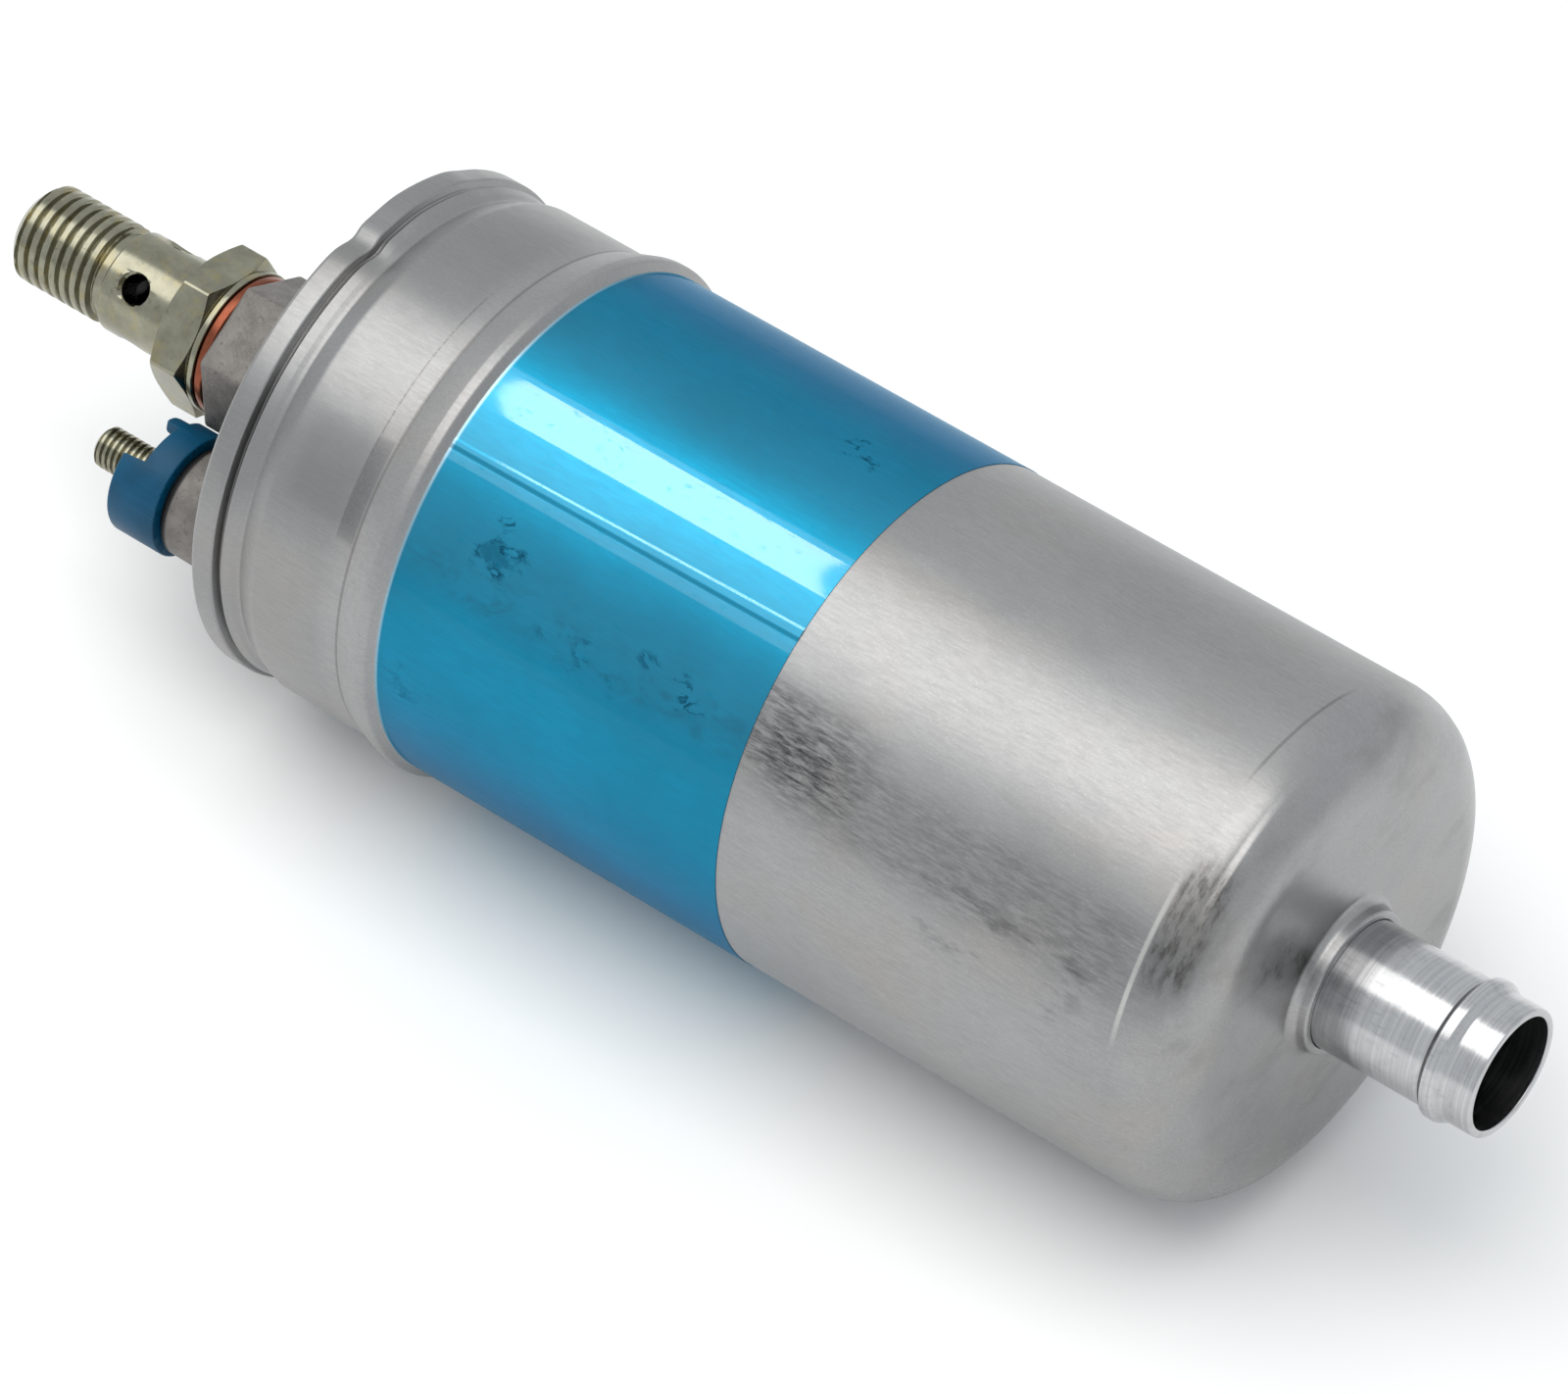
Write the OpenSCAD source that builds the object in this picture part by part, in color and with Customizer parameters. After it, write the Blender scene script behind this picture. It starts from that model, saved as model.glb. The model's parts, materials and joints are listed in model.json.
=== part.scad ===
// Inline electric fuel pump: a roller cell pump and its motor in a drawn aluminium can.
// The pump's axis is X. The inlet nipple points to +X and the outlet valve to -X, with +Z up.
// The origin is on the axis, at the middle of the straight wall that a clamp holds.
// Angles about the axis are measured from +Y towards +Z. All sizes are in millimetres.

/* [Can] */
// Outside diameter of the can's straight wall
can_d = 60; // [58:0.5:63]
// Thickness of the can's drawn wall
can_wall = 1.2; // [1:0.1:1.4]
// Length of the straight wall that a clamp holds
clamp_len = 96; // [94:1:104]
// Outside radius of the shoulder at the inlet end
shoulder_r = 8; // [7:0.5:9]
// Rise of the inlet end's face from the shoulder to the collar
dome_rise = 0.6; // [0.3:0.1:1]
// Height of the drawn collar round the nipple
collar_h = 2.6; // [2:0.1:3.5]
// Thickness of the drawn collar at its mouth
collar_wall = 1.1; // [0.9:0.1:1.3]
// Length of the rolled bead behind the straight wall
bead_len = 5.3; // [5:0.1:6]
// Height of the rolled bead over the straight wall
bead_h = 1.1; // [0.8:0.1:1.2]
// How far the waist lies below the straight wall
waist_drop = 0.1; // [0.1:0.05:0.2]
// Length of the waist
waist_len = 12.3; // [12:0.1:14]
// Length of the cove between the waist and the rolled groove
cove_len = 2.4; // [2.2:0.1:2.8]
// Depth of the rolled groove below the waist
groove_depth = 1.2; // [1:0.1:1.3]
// Step along the axis from the cove to the ridge, to the groove and to the rim
roll_step = 1; // [0.9:0.05:1.1]
// Radius of the rolled rim over the straight wall's radius
rim_rise = 0.2; // [0.1:0.05:0.4]
// Length of the rolled rim
rim_len = 2.7; // [2.6:0.1:3]
// How far the rim's lip reaches in over the cover
lip_len = 2.4; // [2:0.1:3]

/* [Label] */
// Length of the film label along the can
label_len = 46.2; // [44:0.2:48]
// Thickness of the film label
label_t = 0.08; // [0.06:0.01:0.09]
// Angle of the label's seam about the axis
seam_angle = 122; // [110:1:130]
// Open gap at the label's seam
seam_gap = 0.5; // [0.3:0.1:0.8]

/* [Inlet nipple] */
// Outside diameter of the hose nipple
nipple_d = 15; // [14.5:0.1:15.5]
// Wall of the nipple's tube
nipple_wall = 0.9; // [0.8:0.05:1]
// Length of the nipple from the can's shoulder face to its mouth
nipple_len = 22.5; // [21:0.5:24]
// Length of the plain end beyond the hose bead
spigot_len = 3.8; // [3.5:0.1:4.5]
// Half the width of the hose bead
hose_bead_w = 1.5; // [1.3:0.1:1.8]
// Height of the hose bead over the tube
hose_bead_h = 0.7; // [0.5:0.05:0.9]
// Diameter of the nipple's flange inside the can
nipple_flange_d = 21; // [20:0.5:22]
// Thickness of the nipple's flange
nipple_flange_t = 1.5; // [1.2:0.1:2]

/* [End cover] */
// Thickness of the cast end cover
cover_t = 12.5; // [12:0.1:13]
// Thickness of the cover's flange under the rim
cover_flange_t = 1.3; // [1.1:0.1:1.4]
// Depth of the recess in the cover's outer face
cover_recess = 3; // [2:0.5:3.5]
// Depth of the cavity in the cover's inner face
cavity_depth = 5; // [4.6:0.1:5.2]
// Thickness of the sealing ring's cross-section
seal_t = 2.8; // [2.5:0.1:3]
// Size across the flats of the outlet boss's hexagon
boss_af = 17; // [16.5:0.1:18]
// Height of the outlet boss over the can's rim
boss_h = 17.1; // [16:0.1:18]
// Turn of the outlet boss's hexagon about the axis
boss_turn = 1.5; // [0:0.5:10]

/* [Outlet valve] */
// Thickness of the copper sealing washer
washer_t = 1.3; // [1:0.1:1.5]
// Outside diameter of the copper sealing washer
washer_d = 16.8; // [16.4:0.2:17]
// Thickness of the collar behind the valve's hexagon
collar_t = 0.9; // [0.7:0.1:1.1]
// Size across the flats of the valve's hexagon
valve_af = 17; // [16.5:0.1:18]
// Thickness of the valve's hexagon
hex_t = 5; // [4.5:0.1:6]
// Turn of the valve's hexagon about the axis
valve_turn = 20; // [10:1:30]
// Diameter of the plain seat that a banjo fitting goes round
banjo_d = 12.1; // [12.1:0.05:12.3]
// Length of the plain banjo seat
banjo_len = 10.4; // [10:0.1:12]
// Length of the neck between the banjo seat and the thread
neck_len = 1.1; // [1:0.1:1.4]
// Outside diameter of the outlet thread
outlet_thread_d = 11.76; // [11.74:0.01:11.78]
// Pitch of the outlet thread
outlet_pitch = 1.5; // [1.4:0.05:1.6]
// Number of turns of the outlet thread
outlet_turns = 8; // [7:1:9]
// Diameter of the cross holes in the banjo seat
cross_hole_d = 3.4; // [3:0.1:3.8]
// Angle of the first cross hole about the axis
cross_hole_angle = 133.5; // [120:1:150]
// Diameter of the bore that leads to the cross holes
outlet_bore_d = 4.8; // [4.4:0.1:5]
// Diameter of the threaded shank in the boss
shank_d = 11; // [10.8:0.1:11.2]
// Length of the threaded shank in the boss
shank_len = 12.1; // [11:0.1:13]
// Diameter of the chamber that holds the check valve
chamber_d = 8.4; // [8:0.1:8.6]
// How far the check valve's cone lifts
valve_lift = 2; // [1.5:0.1:2.4]

/* [Terminals] */
// Distance of the terminal studs from the wall of the cover's cavity
stud_inset = 5.5; // [5:0.1:5.8]
// Angle of the shrouded stud about the axis
stud_a_angle = 216; // [214:1:220]
// Angle of the plain stud about the axis
stud_b_angle = 316; // [312:1:318]
// Thread diameter of the shrouded stud
stud_a_d = 4.9; // [4.86:0.02:4.94]
// Thread diameter of the plain stud
stud_b_d = 3.9; // [3.86:0.02:3.94]
// Length of the shrouded stud beyond its boss
stud_a_len = 10.6; // [10:0.2:12]
// Length of the plain stud beyond its boss
stud_b_len = 9; // [8.6:0.2:10]
// Radius of the cast terminal bosses
term_boss_r = 6.6; // [6.4:0.1:6.8]
// Height of the terminal bosses over the can's rim
term_boss_h = 16.3; // [15:0.1:17]
// Outside radius of the plastic shroud
shroud_r = 7.3; // [7.2:0.1:7.6]
// Wall of the plastic shroud
shroud_wall = 1.4; // [1.2:0.1:1.5]
// Length of the shroud's tall part
shroud_tall = 6.6; // [6:0.1:7]
// Length of the shroud's low part
shroud_low = 3.7; // [3.2:0.1:4.2]

/* [Motor] */
// Wall of the steel flux ring
flux_wall = 2.2; // [2:0.1:2.5]
// Thickness of the magnets
magnet_t = 5; // [4.5:0.1:5.5]
// Angle that each magnet spans
magnet_span = 130; // [120:1:140]
// Air gap between the magnets and the armature
air_gap = 0.6; // [0.5:0.05:0.8]
// Number of armature slots and commutator bars
slots = 10; // [8:2:12]
// Diameter of the round armature slots
slot_d = 5.2; // [4.8:0.1:5.4]
// Length of the winding's head at each end of the core
head_len = 8; // [7:0.5:9]
// Diameter of the armature shaft
shaft_d = 6; // [5.8:0.1:6.2]
// Outside diameter of the shaft's bushes
bush_d = 10; // [9.6:0.1:10.4]
// Length of the shaft's bushes
bush_len = 8; // [7:0.5:9]
// Thickness of the brush plate
plate_t = 4; // [3.6:0.1:4.4]
// Distance from a brush to the commutator's edge
brush_inset = 2; // [1.8:0.1:2.2]
// Size of a brush along the radius
brush_w = 7; // [6.6:0.1:7.2]
// Size of a brush across the radius
brush_b = 5; // [4.6:0.1:5.4]
// Length of a brush
brush_len = 9.9; // [9:0.1:11]
// How far a brush can be pushed back
brush_travel = 2; // [1.5:0.1:2.4]
// How far the commutator's edge lies inside the core's
com_inset = 2.7; // [2.4:0.1:3]
// Thickness of the commutator
com_t = 3.5; // [3:0.1:4]

/* [Pump] */
// Thickness of the pressure plate
pressure_t = 7; // [6.5:0.1:8]
// Thickness of the cam ring
cam_t = 9; // [8.5:0.1:10]
// Thickness of the suction plate
suction_t = 8; // [7.5:0.1:8.5]
// Radius of the cam ring's bore
cam_r = 17.6; // [17.4:0.1:18]
// Distance of the cam's centre from the axis
cam_offset = 1.2; // [1:0.1:1.3]
// Diameter of a roller
roller_d = 6; // [5.8:0.1:6.2]
// Length of the spacer between the suction plate and the can's end
spacer_len = 9; // [8.6:0.1:9.4]
// Land between the screws' heads and the edge of the pump's plates
screw_land = 0.6; // [0.4:0.1:0.8]
// Diameter of the pump's screws
screw_d = 4; // [3.8:0.1:4.2]
// Diameter of the relief valve's ball
ball_d = 4; // [3.9:0.1:4.2]
// How far the relief valve's ball lifts
ball_lift = 1.2; // [0.8:0.1:1.4]

/* [Hidden] */
$fn = 64;

// Running and seating clearances
run_gap = 0.03;
fit_gap = 0.05;
slip_gap = 0.1;
work_gap = 0.2;
press_gap = 0.02;

// Springs: wire, turns and the length that each has in reserve past its valve's or brush's travel
valve_wire = 0.6;
valve_turns = 6;
valve_spring_r = 3.1;
valve_spring_reserve = 3.8;
valve_spring_len = (valve_turns + 1) * valve_wire + valve_lift + valve_spring_reserve;
brush_wire = 0.45;
brush_turns = 6;
brush_spring_r = 1.9;
brush_spring_reserve = 3.85;
brush_spring_len = (brush_turns + 1) * brush_wire + brush_travel + brush_spring_reserve;
relief_wire = 0.45;
relief_turns = 5;
relief_spring_reserve = 1.8;
relief_spring_len = (relief_turns + 1) * relief_wire + ball_lift + relief_spring_reserve;
spring_gap = 0.05;

// Radii of the can
can_r = can_d / 2;
bead_r = can_r + bead_h;
waist_r = can_r - waist_drop;
groove_r = waist_r - groove_depth;
ridge_r = groove_r + 0.55 * groove_depth;
cove_r = groove_r + 0.15 * groove_depth;
rim_r = can_r + rim_rise;
lip_round = 0.8;
nipple_r = nipple_d / 2;
collar_bore_r = nipple_r + fit_gap;
collar_r = collar_bore_r + collar_wall;
collar_fillet = 1.8;

// Places along the axis, from the inlet end to the outlet end of the can
x_wall0 = -clamp_len / 2;
x_wall1 = clamp_len / 2;
x_face = x_wall1 + shoulder_r;
x_face_in = x_face - can_wall;
x_collar = x_face + collar_h;
x_mouth = x_face + nipple_len;
x_spigot = x_mouth - spigot_len;
x_crest = x_wall0 - 1.2;
x_crease = x_wall0 - bead_len;
x_waist0 = x_crease - waist_len;
x_cove = x_waist0 - cove_len;
x_ridge = x_cove - roll_step;
x_groove = x_ridge - roll_step;
x_rim1 = x_groove - roll_step;
x_lip = x_rim1 - rim_len;

// Places of the end cover and of the valve
x_cover0 = x_lip + can_wall;
x_cover1 = x_cover0 + cover_t;
x_cavity = x_cover1 - cavity_depth;
cover_r = groove_r - can_wall - slip_gap;
cavity_r = cover_r - 4.9;
x_seal = x_crease - 0.8 * waist_len;
stud_offset = cavity_r - stud_inset;
cover_flange_r = rim_r - can_wall - slip_gap;
x_boss = x_lip - boss_h;
x_washer = x_boss - washer_t;
x_hex1 = x_washer - collar_t;
x_hex0 = x_hex1 - hex_t;
x_banjo = x_hex0 - banjo_len;
x_neck = x_banjo - neck_len;
outlet_thread_len = outlet_turns * outlet_pitch;
x_tip = x_neck - outlet_thread_len;
x_shank1 = x_boss + shank_len;
shank_r = shank_d / 2;
banjo_r = banjo_d / 2;
outlet_r = outlet_thread_d / 2;
outlet_bore_r = outlet_bore_d / 2;
chamber_r = chamber_d / 2;
collar_flange_r = max(washer_d, valve_af) / 2 + 0.1;
x_cross = x_banjo + 0.42 * banjo_len;
x_bore_end = x_cross - 2.5;
seat_t = 2.4;
x_seat = x_shank1 - seat_t;
seat_bore_r = 2.2;
cone_r = chamber_r - 0.8;
guide_r = chamber_r - 0.15;
cone_tip_r = 1.2;
cone_disk_t = 1.7;
spigot_r = 2.3;
spigot_h = 2.6;
x_cone_tip = x_seat + (seat_bore_r - fit_gap - cone_tip_r);
x_cone_full = x_cone_tip - (cone_r - cone_tip_r);
x_cone_back = x_cone_full - cone_disk_t;
x_chamber = x_cone_back - valve_spring_len;
passage_r = 3.2;

// Places of the terminals
x_term = x_lip - term_boss_h;
stud_a_r = stud_a_d / 2;
stud_b_r = stud_b_d / 2;
term_neck_r = term_boss_r - 0.8;
term_neck_len = 3;
sleeve_wall = 1.2;
sleeve_flange_t = 1.2;
stud_seal_t = 1.16;
stud_step = 0.35;
stud_head_step = 1.6;
counterbore = sleeve_flange_t + stud_seal_t + fit_gap;
insulator_t = 1;
stud_head_t = 2.2;
x_stud_head = x_cavity + insulator_t;
x_strip = x_stud_head + stud_head_t;
strip_t = 0.8;
strip_lead = 19;
x_shroud = x_term + term_neck_len - 0.5;
step_angle = 122;
finger_angle = 69;
low_end_angle = 30;
tall_end_angle = 300;

// Places of the motor
x_plate1 = x_cover1 + plate_t;
stack_r = waist_r - can_wall - slip_gap;
flux_in_r = stack_r - flux_wall;
magnet_out_r = flux_in_r - slip_gap;
magnet_in_r = magnet_out_r - magnet_t;
core_r = magnet_in_r - air_gap;
com_r = core_r - com_inset;
brush_offset = com_r - brush_inset - brush_w / 2;
x_s1 = x_face_in - spacer_len;
x_s0 = x_s1 - suction_t;
x_p1 = x_s0 - cam_t;
x_p0 = x_p1 - pressure_t;
x_spring0 = x_cavity + 2;
x_brush0 = x_spring0 + brush_spring_len;
x_com0 = x_brush0 + brush_len + slip_gap;
x_com1 = x_com0 + com_t;
x_core0 = x_com1 + 0.5 + head_len;
x_core1 = x_p0 - bush_len - 1.5 - head_len;
shaft_r = shaft_d / 2;
bush_r = bush_d / 2;
hub_r = bush_r + 2.5;
hub_step = 0.7;
slot_r = slot_d / 2;
slot_centre = core_r - slot_r - 2.9;
slot_mouth = 1.8;
box_wall = 1.2;
brush_a_angle = stud_a_angle - 40;
brush_b_angle = stud_b_angle + 40;
x_box1 = x_com0 - 3;

// Places of the pump
rotor_side_gap = 0.06;
roller_r = roller_d / 2;
roller_pitch_r = cam_r - cam_offset - roller_r - 0.3;
rotor_r = roller_pitch_r + 0.85 * roller_r;
coupling_wall = 2.4;
coupling_r = shaft_r + coupling_wall;
dog_h = 2;
dog_r = coupling_r + dog_h;
dog_w = 4;
coupling_gap = 0.15;
kidney_w = 4;
kidney_r = cam_r - kidney_w / 2 - slip_gap;
kidney_span = 80;
screw_r = screw_d / 2;
screw_offset = stack_r - 2 * screw_r - screw_land;
screw_count = 4;
screw_bite = 4.5;
screw_sink = 3;
ball_r = ball_d / 2;
ball_bore_r = ball_r + 0.3;
ball_seat_r = 0.6 * ball_r;
x_ball_seat = x_s0 + 1.4;
x_ball = x_ball_seat + sqrt(ball_r * ball_r - ball_seat_r * ball_seat_r) + 0.02;
relief_spring_r = 0.75 * ball_r;
spring_reach = ball_r + relief_wire / 2 + spring_gap;
x_relief0 = x_ball + sqrt(pow(spring_reach, 2) - pow(relief_spring_r, 2)) - relief_wire / 2;
x_relief1 = x_relief0 + relief_spring_len;
relief_plug_t = 2.4;
relief_boss_r = ball_bore_r + 1.5;
spacer_in_r = kidney_r + kidney_w / 2 + 2;
spacer_wall = 2;

// A cylinder along the axis
module bar(x0, x1, r) {
    translate([x0, 0, 0]) rotate([0, 90, 0]) cylinder(h = x1 - x0, r = r);
}

// A tube along the axis
module tube(x0, x1, r_out, r_in) {
    difference() {
        bar(x0, x1, r_out);
        bar(x0 - 1, x1 + 1, r_in);
    }
}

// A solid turned about the axis from points of axial place and radius
module turned(points) {
    rotate([0, 90, 0]) rotate_extrude() polygon([for (p = points) [p[1], p[0]]]);
}

// A hexagonal bar along the axis, with corners turned by an angle
module hex_bar(x0, x1, af, turn) {
    translate([x0, 0, 0]) rotate([turn, 0, 0]) rotate([0, 90, 0])
        cylinder(h = x1 - x0, r = af / 2 / cos(30), $fn = 6);
}

// Children carried to a distance from the axis, at an angle about it
module off_axis(r, angle) {
    rotate([angle, 0, 0]) translate([0, r, 0]) children();
}

// A ring sector along the axis, centred on an angle
module sector(x0, x1, r_out, r_in, angle, span) {
    rotate([angle - span / 2, 0, 0]) rotate([0, 90, 0]) rotate([0, 0, 90])
        rotate_extrude(angle = span) translate([r_in, x0]) square([r_out - r_in, x1 - x0]);
}

// Points of an arc in axial place and radius
function arc(x, r, size, from, to, steps = 6) =
    [for (i = [0:steps]) let (a = from + (to - from) * i / steps) [x + size * cos(a), r + size * sin(a)]];

// Points of a smooth step from one radius to another
function blend(x0, r0, x1, r1, steps = 6) =
    [for (i = [0:steps]) [x0 + (x1 - x0) * i / steps, r0 + (r1 - r0) * (1 - cos(180 * i / steps)) / 2]];

// Radii along the rolled end, less an inset
function rolled_end(inset) = concat(
    [[x_rim1, rim_r - inset]],
    blend(x_rim1, rim_r - inset, x_groove, groove_r - inset, 4),
    blend(x_groove, groove_r - inset, x_ridge, ridge_r - inset, 4),
    blend(x_ridge, ridge_r - inset, x_cove, cove_r - inset, 4),
    blend(x_cove, cove_r - inset, x_waist0, waist_r - inset, 4),
    blend(x_crease, waist_r - inset, x_crest - 0.6, bead_r - inset),
    blend(x_crest + 0.2, bead_r - inset, x_wall0, can_r - inset, 5)
);

// Groove points of a thread cut as rings, from x0 towards -X
thread_mouth = 0.48;
function thread_rings(x0, r, pitch, turns, depth) = [
    for (i = [0:turns - 2], k = [1:-1:-1])
        [x0 - pitch * (i + 1) + k * thread_mouth / 2, r - (k == 0 ? depth : 0)]
];

// Points of a wire that winds round the axis, six round it and eight rings a turn
wire_sides = 6;
turn_rings = 8;
function coil_points(x0, x1, r, wire, turns) = [
    for (i = [0:turns * turn_rings], k = [0:wire_sides - 1])
        let (t = i * 360 / turn_rings, a = k * 360 / wire_sides,
            x = x0 + wire / 2 + (x1 - x0 - wire) * i / (turns * turn_rings), rr = r + wire / 2 * cos(a))
        [x + wire / 2 * sin(a), rr * cos(t), rr * sin(t)]
];

// A helical compression spring along the axis
module coil(x0, x1, r, wire, turns) {
    rings = turns * turn_rings;
    polyhedron(coil_points(x0, x1, r, wire, turns), concat(
        [for (i = [0:rings - 1], k = [0:wire_sides - 1])
            let (a = i * wire_sides + k, b = i * wire_sides + (k + 1) % wire_sides)
            each [[a, b, b + wire_sides], [a, b + wire_sides, a + wire_sides]]],
        [[for (k = [wire_sides - 1:-1:0]) k]],
        [[for (k = [0:wire_sides - 1]) rings * wire_sides + k]]
    ));
}

// The can: straight wall, shoulder and drawn collar at the inlet, bead, waist and rolled rim at the outlet
module housing_can() {
    fillet_x = x_face + dome_rise + collar_fillet;
    fillet_r = collar_r + collar_fillet;
    outer = concat(
        [[x_lip, rim_r - lip_len]],
        arc(x_lip + lip_round, rim_r - lip_round, lip_round, 180, 90, 4),
        rolled_end(0),
        arc(x_wall1, can_r - shoulder_r, shoulder_r, 90, 0, 10),
        arc(fillet_x, fillet_r, collar_fillet, 180, 270, 5),
        [[x_collar, collar_r], [x_collar, collar_bore_r]]
    );
    inner = concat(
        [[x_lip + can_wall, rim_r - lip_len], [x_lip + can_wall, rim_r - can_wall]],
        rolled_end(can_wall),
        arc(x_wall1, can_r - shoulder_r, shoulder_r - can_wall, 90, 0, 10),
        [[x_face_in + dome_rise, nipple_flange_d / 2 + slip_gap], [x_face_in + dome_rise, collar_bore_r]]
    );
    color("silver") turned(concat(outer, [for (i = [len(inner) - 1:-1:0]) inner[i]]));
}

// The film label round the can, open at its seam
module label_band() {
    color("deepskyblue") difference() {
        tube(x_wall0, x_wall0 + label_len, can_r + label_t, can_r);
        rotate([seam_angle, 0, 0]) translate([x_wall0 - 1, 0, -seam_gap / 2])
            cube([label_len + 2, can_d, seam_gap]);
    }
}

// The turned hose nipple, pushed through the collar from inside the can
module inlet_nipple() {
    bore_r = nipple_r - nipple_wall;
    mouth_round = 0.3;
    x_bead = x_spigot - hose_bead_w;
    x_flange = x_face_in + dome_rise - nipple_flange_t;
    bead = concat(
        blend(x_bead - hose_bead_w, nipple_r, x_bead - 0.2, nipple_r + hose_bead_h, 5),
        blend(x_bead + 0.2, nipple_r + hose_bead_h, x_bead + hose_bead_w, nipple_r, 5)
    );
    color("gainsboro") turned(concat(
        [[x_flange, bore_r], [x_flange, nipple_flange_d / 2]],
        [[x_flange + nipple_flange_t, nipple_flange_d / 2], [x_flange + nipple_flange_t, nipple_r]],
        bead,
        [[x_mouth - mouth_round, nipple_r], [x_mouth, nipple_r - mouth_round]],
        [[x_mouth, bore_r + mouth_round], [x_mouth - mouth_round, bore_r]]
    ));
}

// The strainer's cup, with windows for the fuel
module inlet_strainer() {
    cup_r = nipple_flange_d / 2 - 1.2;
    cup_wall = 0.5;
    x_top = x_face_in + dome_rise - nipple_flange_t;
    x_bottom = x_s1 + 0.6;
    windows = 12;
    color("darkkhaki") difference() {
        union() {
            bar(x_bottom, x_top, cup_r);
            bar(x_top - 0.8, x_top, nipple_flange_d / 2);
        }
        bar(x_bottom + cup_wall, x_top + 1, cup_r - cup_wall);
        for (i = [0:windows - 1])
            rotate([i * 360 / windows, 0, 0]) translate([x_bottom + 1.2, 0, -0.9])
                cube([x_top - x_bottom - 3, cup_r + 1, 1.8]);
    }
}

// The spacer that holds the pump's plates off the can's end, notched for the fuel
module spacer_ring() {
    notch = 5;
    color("lightsteelblue") difference() {
        tube(x_s1, x_face_in, spacer_in_r + spacer_wall, spacer_in_r);
        for (i = [0:2])
            rotate([60 * i, 0, 0]) translate([x_face_in - 3, -can_r, -notch / 2])
                cube([4, can_d, notch]);
    }
}

// Bores of a terminal boss, in its own place along the axis
module terminal_bores(stud_r) {
    sleeve_r = stud_r + sleeve_wall;
    bar(x_term - 1, x_cavity + 1, sleeve_r + fit_gap);
    bar(x_term - 1, x_term + counterbore, sleeve_r + stud_seal_t + fit_gap);
}

// The cast cover: flange, sealing groove, hexagonal outlet boss and two terminal bosses
module end_cover() {
    seal_half = seal_t / 2 + work_gap;
    flare_len = 7.1;
    flare_r = boss_af / 2 + 2.5;
    seal_floor = waist_r - can_wall - seal_t;
    color("darkgray") difference() {
        turned([
            [x_cover0, 0], [x_cover0, cover_flange_r], [x_cover0 + cover_flange_t - 0.3, cover_flange_r],
            [x_cover0 + cover_flange_t, cover_r], [x_seal - seal_half, cover_r],
            [x_seal - seal_half, seal_floor], [x_seal + seal_half, seal_floor],
            [x_seal + seal_half, cover_r], [x_cover1, cover_r], [x_cover1, 0]
        ]);
        difference() {
            bar(x_cover0 - 1, x_cover0 + cover_recess, cover_r - 2.6);
            bar(x_cover0 - 1, x_cover0 + cover_recess, flare_r);
            for (i = [0:2])
                rotate([60 * i + 26, 0, 0]) translate([x_cover0 - 1, -can_r, -1])
                    cube([cover_recess + 1, can_d, 2]);
        }
        bar(x_cavity, x_cover1 + 1, cavity_r);
        bar(x_boss - 1, x_shank1 + 0.5, shank_r + slip_gap);
        bar(x_shank1, x_cavity + 1, passage_r);
        off_axis(stud_offset, stud_a_angle) terminal_bores(stud_a_r);
        off_axis(stud_offset, stud_b_angle) terminal_bores(stud_b_r);
    }
    color("darkgray") difference() {
        union() {
            hex_bar(x_boss, x_cover0 + 1, boss_af, boss_turn);
            turned([
                [x_lip - flare_len, 0], [x_lip - flare_len, boss_af / 2 - 0.2],
                [x_lip - flare_len / 2, boss_af / 2 + 0.6], [x_lip, flare_r],
                [x_cover0 + 1, flare_r], [x_cover0 + 1, 0]
            ]);
        }
        bar(x_boss - 1, x_shank1 + 0.5, shank_r + slip_gap);
        bar(x_shank1, x_cover0 + 2, passage_r);
    }
    for (t = [[stud_a_angle, stud_a_r], [stud_b_angle, stud_b_r]])
        color("darkgray") off_axis(stud_offset, t[0]) difference() {
            union() {
                bar(x_term, x_term + term_neck_len + 1, term_neck_r);
                bar(x_term + term_neck_len, x_cover0 + cover_recess + 0.5, term_boss_r);
            }
            terminal_bores(t[1]);
        }
}

// The rubber ring that seals the cover in the can's waist
module cover_seal() {
    color("dimgray") rotate([0, 90, 0]) rotate_extrude()
        translate([waist_r - can_wall - seal_t / 2, x_seal]) circle(r = seal_t / 2 - press_gap);
}

// The copper washer under the valve
module copper_washer() {
    color("peru") tube(x_washer, x_boss, washer_d / 2, shank_r + 0.6);
}

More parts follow.
